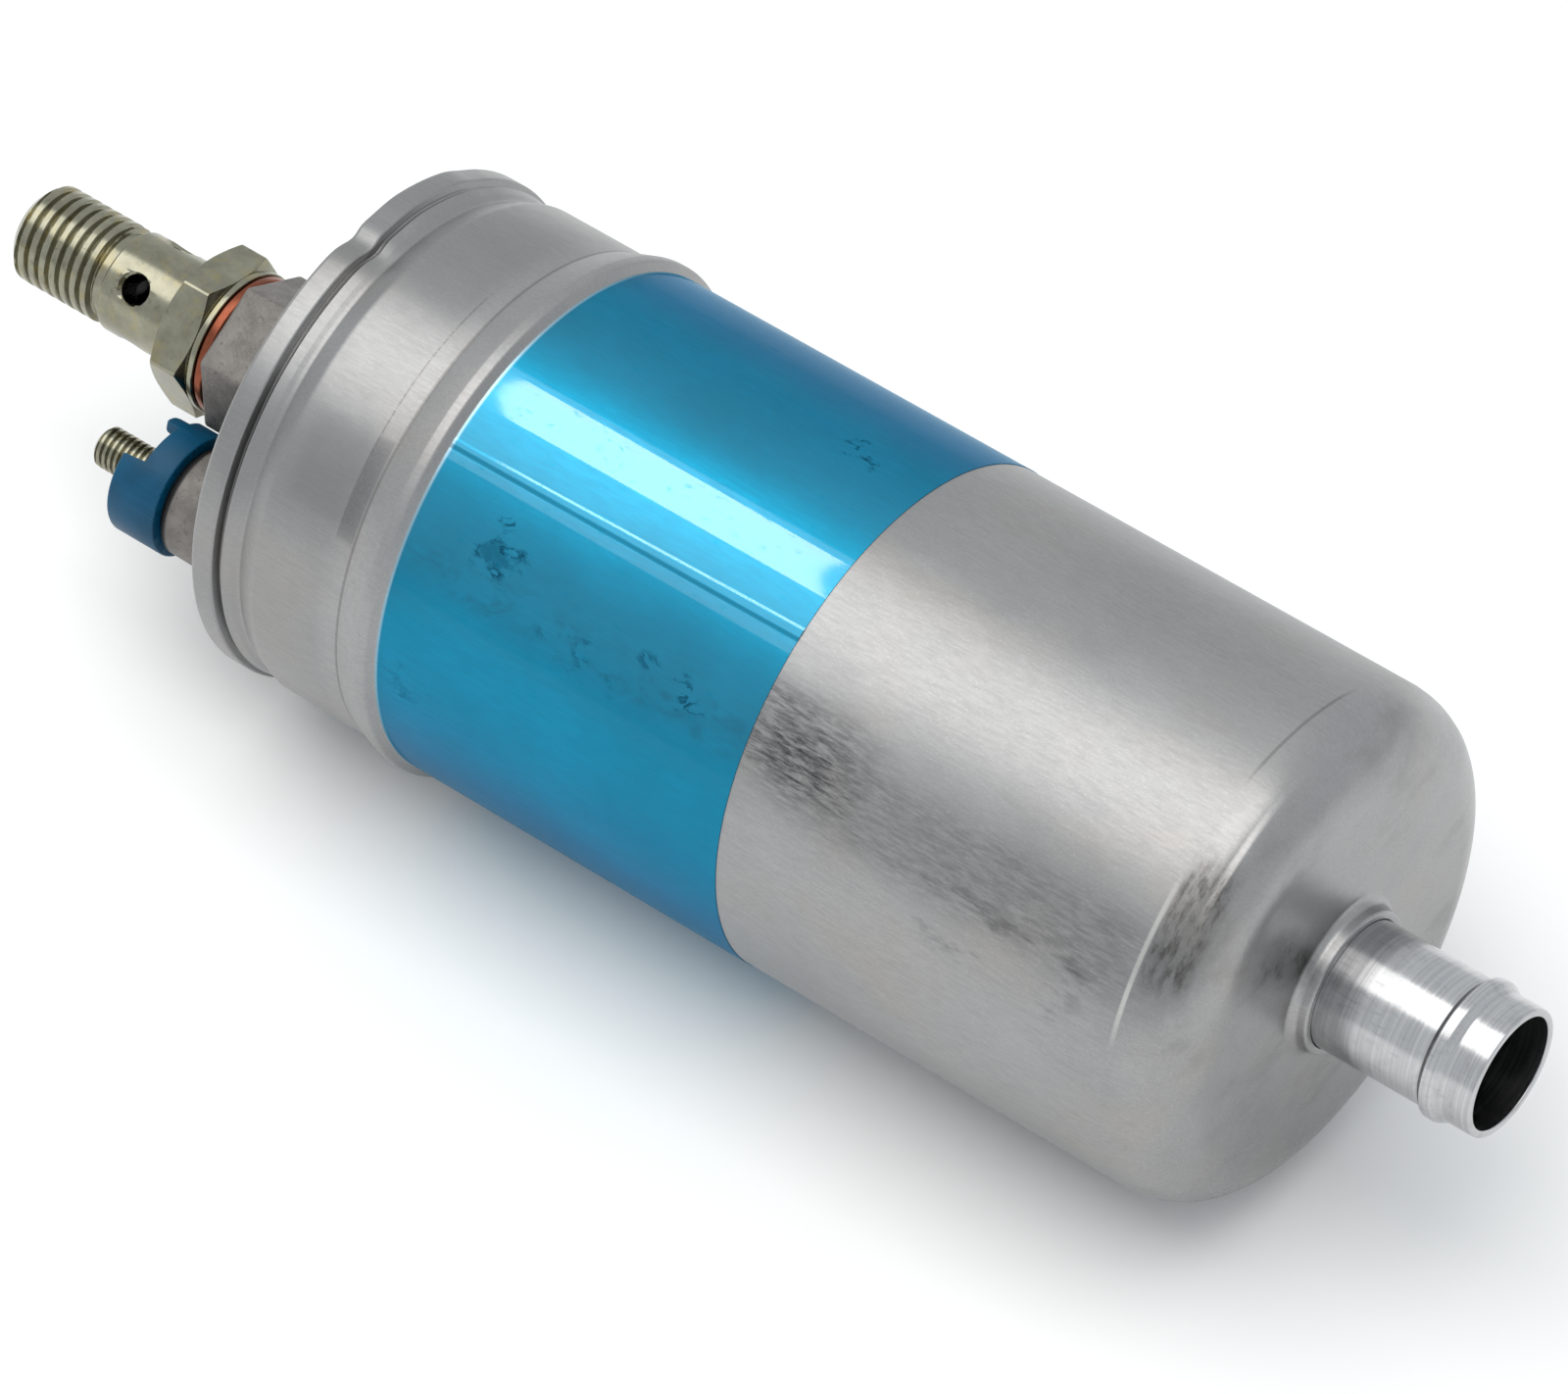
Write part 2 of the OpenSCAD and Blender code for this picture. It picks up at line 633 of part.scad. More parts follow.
// The screwed-in valve body: shank, collar, hexagon, banjo seat and outlet thread
module valve_body() {
    chamfer = 1.3;
    tip_r = outlet_r - chamfer;
    corner_r = valve_af / 2 / cos(30) + fit_gap;
    color("darkkhaki") difference() {
        union() {
            turned(concat(
                [[x_shank1, 0], [x_shank1, shank_r - 0.5], [x_shank1 - 0.5, shank_r], [x_washer, shank_r]],
                [[x_washer, collar_flange_r], [x_hex1, collar_flange_r], [x_hex1, banjo_r]],
                [[x_banjo + 0.4, banjo_r], [x_banjo, outlet_r - 0.7], [x_neck, outlet_r - 0.7]],
                [[x_neck, outlet_r]],
                thread_rings(x_neck, outlet_r, outlet_pitch, outlet_turns, 0.6),
                [[x_tip + chamfer, outlet_r], [x_tip + 0.4, tip_r + 0.5], [x_tip, tip_r], [x_tip, 0]]
            ));
            intersection() {
                hex_bar(x_hex0, x_hex1, valve_af, valve_turn);
                turned([
                    [x_hex0, 0], [x_hex0, valve_af / 2 - 0.2], [x_hex0 + 0.9, corner_r],
                    [x_hex1 - 0.6, corner_r], [x_hex1, corner_r - 0.9], [x_hex1, 0]
                ]);
            }
        }
        bar(x_bore_end, x_shank1 + 1, outlet_bore_r);
        bar(x_chamber, x_shank1 + 1, chamber_r);
        for (a = [0, 90])
            rotate([cross_hole_angle + a, 0, 0]) translate([x_cross, -banjo_r - 1, 0])
                rotate([-90, 0, 0]) cylinder(h = banjo_d + 2, r = cross_hole_d / 2);
    }
}

// The valve's seat ring, pushed into the shank
module valve_seat() {
    color("silver") tube(x_seat, x_shank1, chamber_r - fit_gap, seat_bore_r);
}

// The check valve's cone with its guide fins and spring spigot
module valve_cone() {
    fin_w = 1;
    color("gold") union() {
        turned([
            [x_cone_tip, 0], [x_cone_tip, cone_tip_r], [x_cone_full, cone_r], [x_cone_back, cone_r],
            [x_cone_back, spigot_r], [x_cone_back - spigot_h, spigot_r - 0.3], [x_cone_back - spigot_h, 0]
        ]);
        intersection() {
            bar(x_cone_back, x_cone_full, guide_r);
            for (i = [0:1])
                rotate([90 * i, 0, 0]) translate([x_cone_back, -guide_r, -fin_w / 2])
                    cube([cone_disk_t, 2 * guide_r, fin_w]);
        }
    }
}

// The check valve's spring
module valve_spring() {
    color("lightslategray") 
        coil(x_chamber + spring_gap, x_cone_back - spring_gap, valve_spring_r, valve_wire, valve_turns);
}

// A terminal stud along its own axis: thread, shank and head
module stud(r, len, pitch) {
    turns = floor((len - 1) / pitch);
    shank = r - stud_step;
    head = r + stud_head_step;
    turned(concat(
        [[x_strip, 0], [x_strip, head], [x_stud_head, head], [x_stud_head, shank], [x_term, shank]],
        [[x_term, r]],
        thread_rings(x_term, r, pitch, turns, 0.4),
        [[x_term - len + 0.6, r], [x_term - len, r - 0.6], [x_term - len, 0]]
    ));
}

// The shrouded terminal stud
module terminal_stud_a() {
    color("khaki") off_axis(stud_offset, stud_a_angle) stud(stud_a_r, stud_a_len, 0.8);
}

// The plain terminal stud
module terminal_stud_b() {
    color("khaki") off_axis(stud_offset, stud_b_angle) stud(stud_b_r, stud_b_len, 0.7);
}

// The sleeves and inner washers that insulate the studs from the cover
module stud_insulators() {
    for (t = [[stud_a_angle, stud_a_r], [stud_b_angle, stud_b_r]])
        color("saddlebrown") off_axis(stud_offset, t[0]) {
            difference() {
                union() {
                    bar(x_term, x_cavity - fit_gap, t[1] + sleeve_wall);
                    bar(x_term, x_term + sleeve_flange_t, t[1] + sleeve_wall + stud_seal_t);
                }
                bar(x_term - 1, x_cavity + 1, t[1] - stud_step + fit_gap);
            }
            tube(x_cavity, x_stud_head, t[1] + stud_head_step + 0.8, t[1] - stud_step + fit_gap);
        }
}

// The rubber rings under the insulators' flanges
module stud_seals() {
    for (t = [[stud_a_angle, stud_a_r], [stud_b_angle, stud_b_r]])
        color("black") off_axis(stud_offset, t[0]) rotate([0, 90, 0]) rotate_extrude()
            translate([t[1] + sleeve_wall + stud_seal_t / 2, x_term + sleeve_flange_t + stud_seal_t / 2])
                circle(r = stud_seal_t / 2 - 0.01);
}

// A wedge of a disc along the axis between two angles, for cutting collars
module wedge(x0, x1, from, to) {
    reach = 3 * shroud_r;
    rotate([0, 90, 0]) rotate([0, 0, 90]) translate([0, 0, x0]) linear_extrude(height = x1 - x0)
        polygon(concat([[0, 0]], [for (a = [from, (from + to) / 2, to]) [reach * cos(a), reach * sin(a)]]));
}

// The plastic shroud: an open collar with a tall part, a low part, a finger and a floor
module terminal_shroud() {
    in_r = shroud_r - shroud_wall;
    floor_t = 1.2;
    x_low = x_shroud - shroud_low;
    x_tall = x_shroud - shroud_tall;
    finger_len = 1.8;
    finger_span = 14;
    centre = [0, stud_offset * cos(stud_a_angle), stud_offset * sin(stud_a_angle)];
    color("steelblue") translate(centre)
        difference() {
            bar(x_tall, x_shroud, shroud_r);
            bar(x_tall - 1, x_shroud - floor_t, in_r);
            bar(x_tall - 1, x_shroud + 1, term_neck_r + fit_gap);
            wedge(x_tall - 1, x_low, finger_angle + finger_span / 2, step_angle);
            wedge(x_tall - 1, x_low, low_end_angle, finger_angle - finger_span / 2);
            wedge(x_tall - 1, x_low - finger_len, low_end_angle - 1, step_angle - 1);
            wedge(x_tall - 1, x_shroud - floor_t, tall_end_angle - 360, low_end_angle);
            translate(-centre) bar(x_tall - 1, x_shroud + 1, boss_af / 2 / cos(30) + slip_gap);
        }
}

// The brass strips from the studs' heads to the brush boxes
module contact_strips() {
    grow = slip_gap + box_wall;
    in_r = norm([brush_offset + brush_w / 2 + grow, brush_b / 2 + grow]) + slip_gap;
    strip_w = 3;
    strip_span = 44;
    for (a = [stud_a_angle - strip_lead, stud_b_angle + strip_lead])
        color("goldenrod") sector(x_strip, x_strip + strip_t, in_r + strip_w, in_r, a, strip_span);
}

// A brush's block, in its own place on the +Y side
module brush_block(x0, x1, grow) {
    translate([x0, brush_offset - brush_w / 2 - grow, -brush_b / 2 - grow])
        cube([x1 - x0, brush_w + 2 * grow, brush_b + 2 * grow]);
}

// The plastic plate that carries the rear bush and the two brush boxes
module brush_plate() {
    hole_offset = 19;
    hole_r = 2.6;
    hole_step = 26.7;
    middle = (brush_a_angle + brush_b_angle) / 2;
    color("peru") difference() {
        union() {
            bar(x_cover1, x_plate1, stack_r);
            bar(x_cover1, x_cover1 + bush_len, hub_r);
            for (a = [brush_a_angle, brush_b_angle])
                rotate([a, 0, 0]) brush_block(x_spring0 - box_wall, x_box1, slip_gap + box_wall);
        }
        bar(x_cover1 - 1, x_cover1 + bush_len + 1, bush_r + press_gap);
        for (a = [brush_a_angle, brush_b_angle])
            rotate([a, 0, 0]) brush_block(x_spring0, x_box1 + 1, slip_gap);
        for (half_turn = [0, 180], side = [-1, 1])
            off_axis(hole_offset, middle + half_turn + side * hole_step / 2)
                bar(x_cover1 - 1, x_plate1 + 1, hole_r);
    }
}

// The carbon brushes
module brush_a() {
    color("darkslategray") rotate([brush_a_angle, 0, 0]) brush_block(x_brush0, x_com0 - slip_gap, 0);
}

module brush_b() {
    color("darkslategray") rotate([brush_b_angle, 0, 0]) brush_block(x_brush0, x_com0 - slip_gap, 0);
}

// The brush springs
module brush_spring_a() {
    color("lightslategray") off_axis(brush_offset, brush_a_angle)
        coil(x_spring0 + spring_gap, x_brush0 - spring_gap, brush_spring_r, brush_wire, brush_turns);
}

module brush_spring_b() {
    color("lightslategray") off_axis(brush_offset, brush_b_angle)
        coil(x_spring0 + spring_gap, x_brush0 - spring_gap, brush_spring_r, brush_wire, brush_turns);
}

// The sintered bushes that the shaft runs in
module rear_bush() {
    color("darkgoldenrod") tube(x_cover1, x_cover1 + bush_len, bush_r, shaft_r + run_gap);
}

module front_bush() {
    color("darkgoldenrod") tube(x_p0 - bush_len, x_p0 + 2, bush_r, shaft_r + run_gap);
}

// The steel tube that closes the magnets' field
module flux_ring() {
    color("gray") tube(x_plate1, x_p0, stack_r, flux_in_r);
}

// The two magnets
module magnet_north() {
    color("dimgray") sector(x_core0 - 3, x_core1 + 3, magnet_out_r, magnet_in_r, 90, magnet_span);
}

module magnet_south() {
    color("dimgray") sector(x_core0 - 3, x_core1 + 3, magnet_out_r, magnet_in_r, 270, magnet_span);
}

// The leaf clips that hold the magnets apart
module magnet_clips() {
    leaf = 0.8;
    gap_span = 180 - magnet_span;
    for (a = [0, 180])
        color("lightsteelblue") {
            sector(x_core0, x_core1, magnet_out_r, magnet_out_r - leaf, a, gap_span - 1);
            for (s = [-1, 1])
                sector(x_core0, x_core1, magnet_out_r, magnet_out_r - 3, a + s * (gap_span / 2 - 1.5), 2);
        }
}

// The armature's shaft
module armature_shaft() {
    color("lightgray") turned([
        [x_cover1 + 0.5, 0], [x_cover1 + 0.5, shaft_r - 0.5], [x_cover1 + 1, shaft_r],
        [x_s0 - 1, shaft_r], [x_s0 - 0.5, shaft_r - 0.5], [x_s0 - 0.5, 0]
    ]);
}

// The armature's slotted core
module armature_core() {
    color("slategray") difference() {
        tube(x_core0, x_core1, core_r, shaft_r + press_gap);
        for (i = [0:slots - 1])
            rotate([i * 360 / slots, 0, 0]) {
                translate([0, slot_centre, 0]) bar(x_core0 - 1, x_core1 + 1, slot_r);
                translate([x_core0 - 1, slot_centre, -slot_mouth / 2])
                    cube([x_core1 - x_core0 + 2, core_r, slot_mouth]);
            }
    }
}

// The armature's copper winding: a head at each end, joined through the slots
module armature_winding() {
    in_r = slot_centre - slot_r - 2;
    out_r = slot_centre + slot_r;
    round_r = (out_r - in_r) / 2;
    crown = 0.6 * round_r;
    lobe = head_len - crown;
    color("chocolate") union() {
        for (t = [[x_core0, -1], [x_core1, 1]])
            turned(concat(
                [[t[0] + t[1] * slip_gap, in_r], [t[0] + t[1] * lobe, in_r]],
                [for (a = [30:30:150])
                    [t[0] + t[1] * (lobe + crown * sin(a)), (in_r + out_r) / 2 - round_r * cos(a)]],
                [[t[0] + t[1] * lobe, out_r], [t[0] + t[1] * slip_gap, out_r]]
            ));
        for (i = [0:slots - 1])
            off_axis(slot_centre, i * 360 / slots) bar(x_core0 - 1, x_core1 + 1, slot_r - 0.2);
    }
}

// The commutator's copper bars, joined behind their slots
module commutator() {
    in_r = hub_r + hub_step;
    bar_gap = 0.6;
    color("orange") difference() {
        tube(x_com0, x_com1, com_r, in_r);
        for (i = [0:slots / 2 - 1])
            rotate([(i + 0.5) * 360 / slots, 0, 0]) translate([x_com0 - 1, -can_r, -bar_gap / 2])
                cube([1 + 0.45 * com_t, can_d, bar_gap]);
    }
}

// The moulded hub that holds the commutator on the shaft
module commutator_hub() {
    color("maroon") union() {
        tube(x_com0 + 0.5, x_com1, hub_r + hub_step - press_gap, shaft_r + press_gap);
        tube(x_com1, x_core0 - 0.5, shaft_r + 2, shaft_r + press_gap);
    }
}

// The coupling between the shaft and the pump's rotor
module drive_coupling() {
    color("darkseagreen") difference() {
        union() {
            bar(x_p1 + coupling_gap, x_s0 - coupling_gap, coupling_r);
            intersection() {
                bar(x_p1 + coupling_gap, x_s0 - coupling_gap, dog_r);
                translate([x_p1, -dog_r, -dog_w / 2]) cube([cam_t, 2 * dog_r, dog_w]);
            }
        }
        bar(x_p1 - 1, x_s0 + 1, shaft_r + press_gap);
    }
}

// Holes for the pump's screws
module screw_holes(x0, x1, r) {
    for (i = [0:screw_count - 1])
        off_axis(screw_offset, 45 + i * 360 / screw_count) bar(x0, x1, r);
}

// The pressure plate, with the front bush's seat and the outlet port
module pressure_plate() {
    color("lightslategray") difference() {
        union() {
            bar(x_p0, x_p1, stack_r);
            bar(x_p0 - bush_len, x_p0 + 1, hub_r);
        }
        bar(x_p0 - bush_len - 1, x_p0 + 2, bush_r + press_gap);
        bar(x_p0, x_p1 + 1, shaft_r + work_gap);
        sector(x_p0 - 1, x_p1 + 1, kidney_r + kidney_w / 2, kidney_r - kidney_w / 2, 0, kidney_span);
        screw_holes(x_p1 - screw_bite - 0.5, x_p1 + 1, screw_r + fit_gap);
    }
}

// The cam ring, whose bore lies off the axis
module cam_ring() {
    color("silver") difference() {
        bar(x_p1, x_s0, stack_r);
        translate([0, 0, cam_offset]) bar(x_p1 - 1, x_s0 + 1, cam_r);
        screw_holes(x_p1 - 1, x_s0 + 1, screw_r + slip_gap);
    }
}

// The suction plate, with the inlet port and the relief valve's housing
module suction_plate() {
    x_boss1 = x_relief1 + relief_plug_t;
    color("lightslategray") difference() {
        union() {
            bar(x_s0, x_s1, stack_r);
            off_axis(kidney_r, 0) bar(x_s0 + 1, x_boss1, relief_boss_r);
        }
        sector(x_s0 - 1, x_s1 + 1, kidney_r + kidney_w / 2, kidney_r - kidney_w / 2, 180, kidney_span);
        off_axis(kidney_r, 0) {
            bar(x_s0 - 1, x_ball_seat + 1, ball_seat_r);
            bar(x_ball_seat, x_boss1 + 1, ball_bore_r);
            translate([x_s1 + 1.5, 0, 0]) rotate([90, 0, 0])
                cylinder(h = 4 * relief_boss_r, r = 0.9, center = true);
        }
        screw_holes(x_s0 - 1, x_s1 + 1, screw_r + slip_gap);
        screw_holes(x_s1 - screw_sink, x_s1 + 1, 2 * screw_r + work_gap);
    }
}

// The pump's rotor, with a slot for each roller
module pump_rotor() {
    x0 = x_p1 + rotor_side_gap;
    x1 = x_s0 - rotor_side_gap;
    slot_gap = roller_r + fit_gap;
    color("dimgray") difference() {
        bar(x0, x1, rotor_r);
        bar(x0 - 1, x1 + 1, coupling_r + slip_gap);
        intersection() {
            bar(x0 - 1, x1 + 1, dog_r + slip_gap);
            translate([x0 - 1, -can_r, -dog_w / 2 - slip_gap])
                cube([cam_t + 2, can_d, dog_w + 2 * slip_gap]);
        }
        for (i = [0:rollers - 1])
            rotate([roller_angle(i), 0, 0]) {
                translate([0, roller_pitch_r, 0]) bar(x0 - 1, x1 + 1, slot_gap);
                translate([x0 - 1, roller_pitch_r, -slot_gap]) cube([cam_t + 2, can_r, 2 * slot_gap]);
            }
    }
}

// Angle of a roller about the axis
rollers = 5;
function roller_angle(i) = 36 + i * 360 / rollers;

// A roller in its slot
module roller(i) {
    color("gainsboro") off_axis(roller_pitch_r, roller_angle(i))
        bar(x_p1 + 2 * rotor_side_gap, x_s0 - 2 * rotor_side_gap, roller_r);
}

// The socket-head screws that hold the pump's plates
module pump_screws() {
    head_h = screw_sink - work_gap;
    socket_depth = 1.6;
    x_head = x_s1 - screw_sink;
    for (i = [0:screw_count - 1])
        color("darkgray") off_axis(screw_offset, 45 + i * 360 / screw_count) difference() {
            union() {
                bar(x_p1 - screw_bite, x_head, screw_r);
                bar(x_head, x_head + head_h, 2 * screw_r);
            }
            hex_bar(x_head + head_h - socket_depth, x_s1 + 1, screw_d * 0.75, 0);
        }
}

// The relief valve's ball
module relief_ball() {
    color("gainsboro") off_axis(kidney_r, 0) translate([x_ball, 0, 0]) sphere(r = ball_r);
}

// The relief valve's spring
module relief_spring() {
    color("lightslategray") off_axis(kidney_r, 0)
        coil(x_relief0, x_relief1 - spring_gap, relief_spring_r, relief_wire, relief_turns);
}

// The relief valve's plug, bored for the fuel
module relief_plug() {
    color("goldenrod") off_axis(kidney_r, 0)
        tube(x_relief1, x_relief1 + relief_plug_t, ball_bore_r - fit_gap, 0.8);
}

housing_can();
label_band();
inlet_nipple();
inlet_strainer();
spacer_ring();
end_cover();
cover_seal();
copper_washer();
valve_body();
valve_seat();
valve_cone();
valve_spring();
terminal_stud_a();
terminal_stud_b();
stud_insulators();
stud_seals();
terminal_shroud();
contact_strips();
brush_plate();
brush_a();
brush_b();
brush_spring_a();
brush_spring_b();
rear_bush();
front_bush();
flux_ring();
magnet_north();
magnet_south();
magnet_clips();
armature_shaft();
armature_core();
armature_winding();
commutator();
commutator_hub();
drive_coupling();
pressure_plate();
cam_ring();
suction_plate();
pump_rotor();
roller(0);  // roller_1
roller(1);  // roller_2
roller(2);  // roller_3
roller(3);  // roller_4
roller(4);  // roller_5
pump_screws();
relief_ball();
relief_spring();
relief_plug();
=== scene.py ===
"""Dresses an inline electric fuel pump round its packed CAD frame.

The can, label, nipple, cover, washer, valve, terminals and springs are made anew, and the other pieces keep
their CAD shape. The pump's axis is X, with the inlet nipple at +X. Angles about it run from +Y towards +Z.
Shapes are worked out in millimetres and put into their meshes in metres.
"""

import json
import math

import bmesh
import bpy
import numpy as np
from bpy.props import FloatProperty, FloatVectorProperty, PointerProperty
from mathutils import Matrix, Vector


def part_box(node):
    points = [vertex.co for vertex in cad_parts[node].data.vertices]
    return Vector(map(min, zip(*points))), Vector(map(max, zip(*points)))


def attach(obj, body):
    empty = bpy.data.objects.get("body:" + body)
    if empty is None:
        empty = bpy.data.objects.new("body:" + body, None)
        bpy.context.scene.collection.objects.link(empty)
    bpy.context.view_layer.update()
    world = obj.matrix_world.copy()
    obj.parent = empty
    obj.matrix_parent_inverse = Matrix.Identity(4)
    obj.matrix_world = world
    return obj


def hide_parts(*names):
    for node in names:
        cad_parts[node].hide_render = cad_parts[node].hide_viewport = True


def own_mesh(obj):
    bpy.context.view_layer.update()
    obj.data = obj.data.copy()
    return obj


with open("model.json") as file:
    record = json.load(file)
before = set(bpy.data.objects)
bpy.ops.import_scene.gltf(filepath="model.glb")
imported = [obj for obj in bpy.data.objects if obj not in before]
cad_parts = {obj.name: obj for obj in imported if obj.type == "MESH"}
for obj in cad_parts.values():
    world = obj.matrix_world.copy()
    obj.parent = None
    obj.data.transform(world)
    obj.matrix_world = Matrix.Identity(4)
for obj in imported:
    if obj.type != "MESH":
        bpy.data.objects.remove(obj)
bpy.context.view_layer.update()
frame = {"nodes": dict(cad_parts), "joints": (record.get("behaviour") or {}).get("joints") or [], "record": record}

bl_info = {
    "name": "Electric Fuel Pump",
    "version": (1, 0, 0),
    "blender": (4, 5, 0),
    "location": "View3D > Sidebar > Fuel Pump",
    "description": "Builds the finished pieces and the studio of an inline electric fuel pump",
    "category": "Add Mesh",
}

MM = 0.001
BODY = "pump_body"


def span(node):
    """The lowest and highest corners of a CAD node at rest, in millimetres."""
    low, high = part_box(node)
    return np.array(low) / MM, np.array(high) / MM


CAN_LOW, CAN_HIGH = span("housing_can")
LABEL_LOW, LABEL_HIGH = span("label_band")
NIPPLE_LOW, NIPPLE_HIGH = span("inlet_nipple")
SEAL_LOW, SEAL_HIGH = span("cover_seal")
WASHER_LOW, WASHER_HIGH = span("copper_washer")
VALVE_LOW, VALVE_HIGH = span("valve_body")
SHROUD_LOW, SHROUD_HIGH = span("terminal_shroud")

# The terminals' angles about the axis, their distance from it, and the outer face of their bosses.
TERMINAL_A = math.radians(216)
TERMINAL_B = math.radians(316)
TERMINAL_OFFSET = 17.0
TERMINAL_FACE = span("stud_insulators")[0][0]

# The can's collar clears the nipple's tube by 0.05.
CAN_BORE = 7.55

# The can's straight wall starts at the label's outer edge and ends as far on the other side of X = 0.
WALL_START = LABEL_LOW[0]
WALL_END = -LABEL_LOW[0]


# Settings

def length_setting(name, description, default, low, high):
    """A length, given in millimetres."""
    return FloatProperty(name=name, description=description, default=default * MM, min=low * MM,
        max=high * MM, unit="LENGTH", precision=4)


def angle_setting(name, description, default, low, high):
    """An angle, given in degrees."""
    return FloatProperty(name=name, description=description, default=math.radians(default),
        min=math.radians(low), max=math.radians(high), unit="ROTATION")


def colour_setting(name, description, default):
    """A colour in linear light."""
    return FloatVectorProperty(name=name, description=description, size=3, default=default, min=0, max=1,
        subtype="COLOR")


def plain_setting(name, description, default, low, high, **kind):
    """Any other number, with a unit or a subtype where one fits."""
    return FloatProperty(name=name, description=description, default=default, min=low, max=high, **kind)


class CanSettings(bpy.types.PropertyGroup):
    """Sizes of the drawn can."""

    radius: length_setting("Radius", "Outside radius of the straight wall", 30, 29, 31)
    wall: length_setting("Wall", "Thickness of the drawn wall", 1.2, 1, 1.4)
    shoulder: length_setting("Shoulder", "Outside radius of the shoulder at the inlet end", 8, 7, 9)
    rim_rise: length_setting("Rim Rise", "Height of the rolled rim over the straight wall", 0.2, 0, 0.4)
    dent: length_setting("Rim Dent", "Depth of the dent in the rolled rim", 0.6, 0, 1)


class LabelSettings(bpy.types.PropertyGroup):
    """Sizes of the film label."""

    seam: angle_setting("Seam Angle", "Angle about the axis at which the film's ends lap", 122.6, 0, 360)
    skew: angle_setting("Seam Skew", "Angle by which the lap widens along the label", 1.6, 0, 4)
    lap: angle_setting("Lap", "Angle by which the film's ends overlap", 1.7, 1, 5)


class NippleSettings(bpy.types.PropertyGroup):
    """Sizes of the inlet's hose nipple."""

    radius: length_setting("Radius", "Outside radius of the tube", 7.5, 7, 8)
    wall: length_setting("Wall", "Thickness of the tube's wall", 0.9, 0.7, 1.1)
    bead: length_setting("Bead", "Height of the hose bead over the tube", 0.7, 0.4, 1)


class CoverSettings(bpy.types.PropertyGroup):
    """Sizes of the cast end cover."""

    flats: length_setting("Boss Across Flats", "Size across the flats of the outlet boss", 17, 16, 18)
    turn: angle_setting("Boss Turn", "Angle of the boss's first corner about the axis", 31.5, 0, 60)
    recess: length_setting("Recess", "Depth of the ribbed recess in the outer face", 3, 2, 3.5)
    rib: length_setting("Rib", "Half the width of a rib in the recess", 1, 0.6, 1.6)


class ValveSettings(bpy.types.PropertyGroup):
    """Sizes of the screwed-in outlet valve."""

    flats: length_setting("Across Flats", "Size across the flats of the hexagon", 17, 16, 18)
    turn: angle_setting("Turn", "Angle of the hexagon's first corner about the axis", 50, 0, 60)
    seat: length_setting("Banjo Seat Radius", "Radius of the plain seat at the holes", 6.05, 5.9, 6.2)
    thread: length_setting("Thread Radius", "Crest radius of the outlet thread", 5.88, 5.8, 5.95)
    pitch: length_setting("Pitch", "Pitch of the outlet thread", 1.5, 1, 1.75)
    hole: length_setting("Cross Hole Radius", "Radius of the cross holes", 1.7, 1.4, 2)
    hole_angle: angle_setting("Cross Hole Angle", "Angle of the first cross hole", 133.5, 0, 180)


class TerminalSettings(bpy.types.PropertyGroup):
    """Sizes of the terminals and the plastic shroud."""

    stud_a: length_setting("Shrouded Stud Radius", "Crest radius of the shrouded stud", 2.45, 2.4, 2.5)
    stud_b: length_setting("Plain Stud Radius", "Crest radius of the plain stud", 1.95, 1.9, 2)
    shroud: length_setting("Shroud Radius", "Outside radius of the shroud", 7.3, 7.2, 7.6)
    shroud_wall: length_setting("Shroud Wall", "Thickness of the shroud's wall", 1.4, 1, 1.6)


class FinishSettings(bpy.types.PropertyGroup):
    """Colours and roughness of the finishes that show."""

    aluminium: colour_setting("Can Aluminium", "Colour of the drawn can", (0.335, 0.333, 0.335))
    film: colour_setting("Label Film", "Colour of the metallic film", (0.0, 0.215, 0.36))
    zinc: colour_setting("Plated Steel", "Colour of the plated valve and studs", (0.27, 0.262, 0.2))
    casting: colour_setting("Cast Aluminium", "Colour of the cast cover", (0.19, 0.175, 0.163))
    shroud: colour_setting("Shroud Plastic", "Colour of the shroud", (0.0, 0.06, 0.128))
    copper: colour_setting("Copper", "Colour of the sealing washer", (0.3, 0.09, 0.05))
    brushing: plain_setting("Can Roughness", "Roughness of the drawn can", 0.42, 0.1, 0.8, subtype="FACTOR")


class StudioSettings(bpy.types.PropertyGroup):
    """The studio's camera, lamps and floor."""

    lens: plain_setting("Lens", "Focal length in millimetres", 236.17, 50, 400, unit="CAMERA")
    azimuth: angle_setting("Azimuth", "Angle of the camera round the object", 38.085, 0, 360)
    elevation: angle_setting("Elevation", "Angle of the camera above the floor", 46.325, 0, 90)
    roll: angle_setting("Roll", "Turn of the camera about its line of sight", 0.443, -10, 10)
    place: FloatVectorProperty(name="Place", description="Camera's place", size=3,
        default=(0.4511, -0.5966, 0.7876), unit="LENGTH", precision=4)
    softbox: plain_setting("Softbox", "Radiance of the overhead softbox", 1.85, 0, 10)
    strip: plain_setting("Strip", "Radiance of the small strip lamp", 11.5, 0, 40)
    world: plain_setting("World", "Radiance of the pale surroundings", 0.85, 0, 2)
    floor: colour_setting("Floor", "Colour of the floor", (0.92, 0.92, 0.92))


# Shapes

def mm(value):
    """A setting's length in millimetres."""
    return value / MM


def smooth(low, high, value):
    """0 below low and 1 above high, with the smooth step 3t^2 - 2t^3 between."""
    t = np.clip((value - low) / (high - low), 0, 1)
    return t * t * (3 - 2 * t)


def bell(value, centre, width):
    """A bell curve of height 1: e to the power of minus the squared distance in widths."""
    return np.exp(-(((value - centre) / width) ** 2))


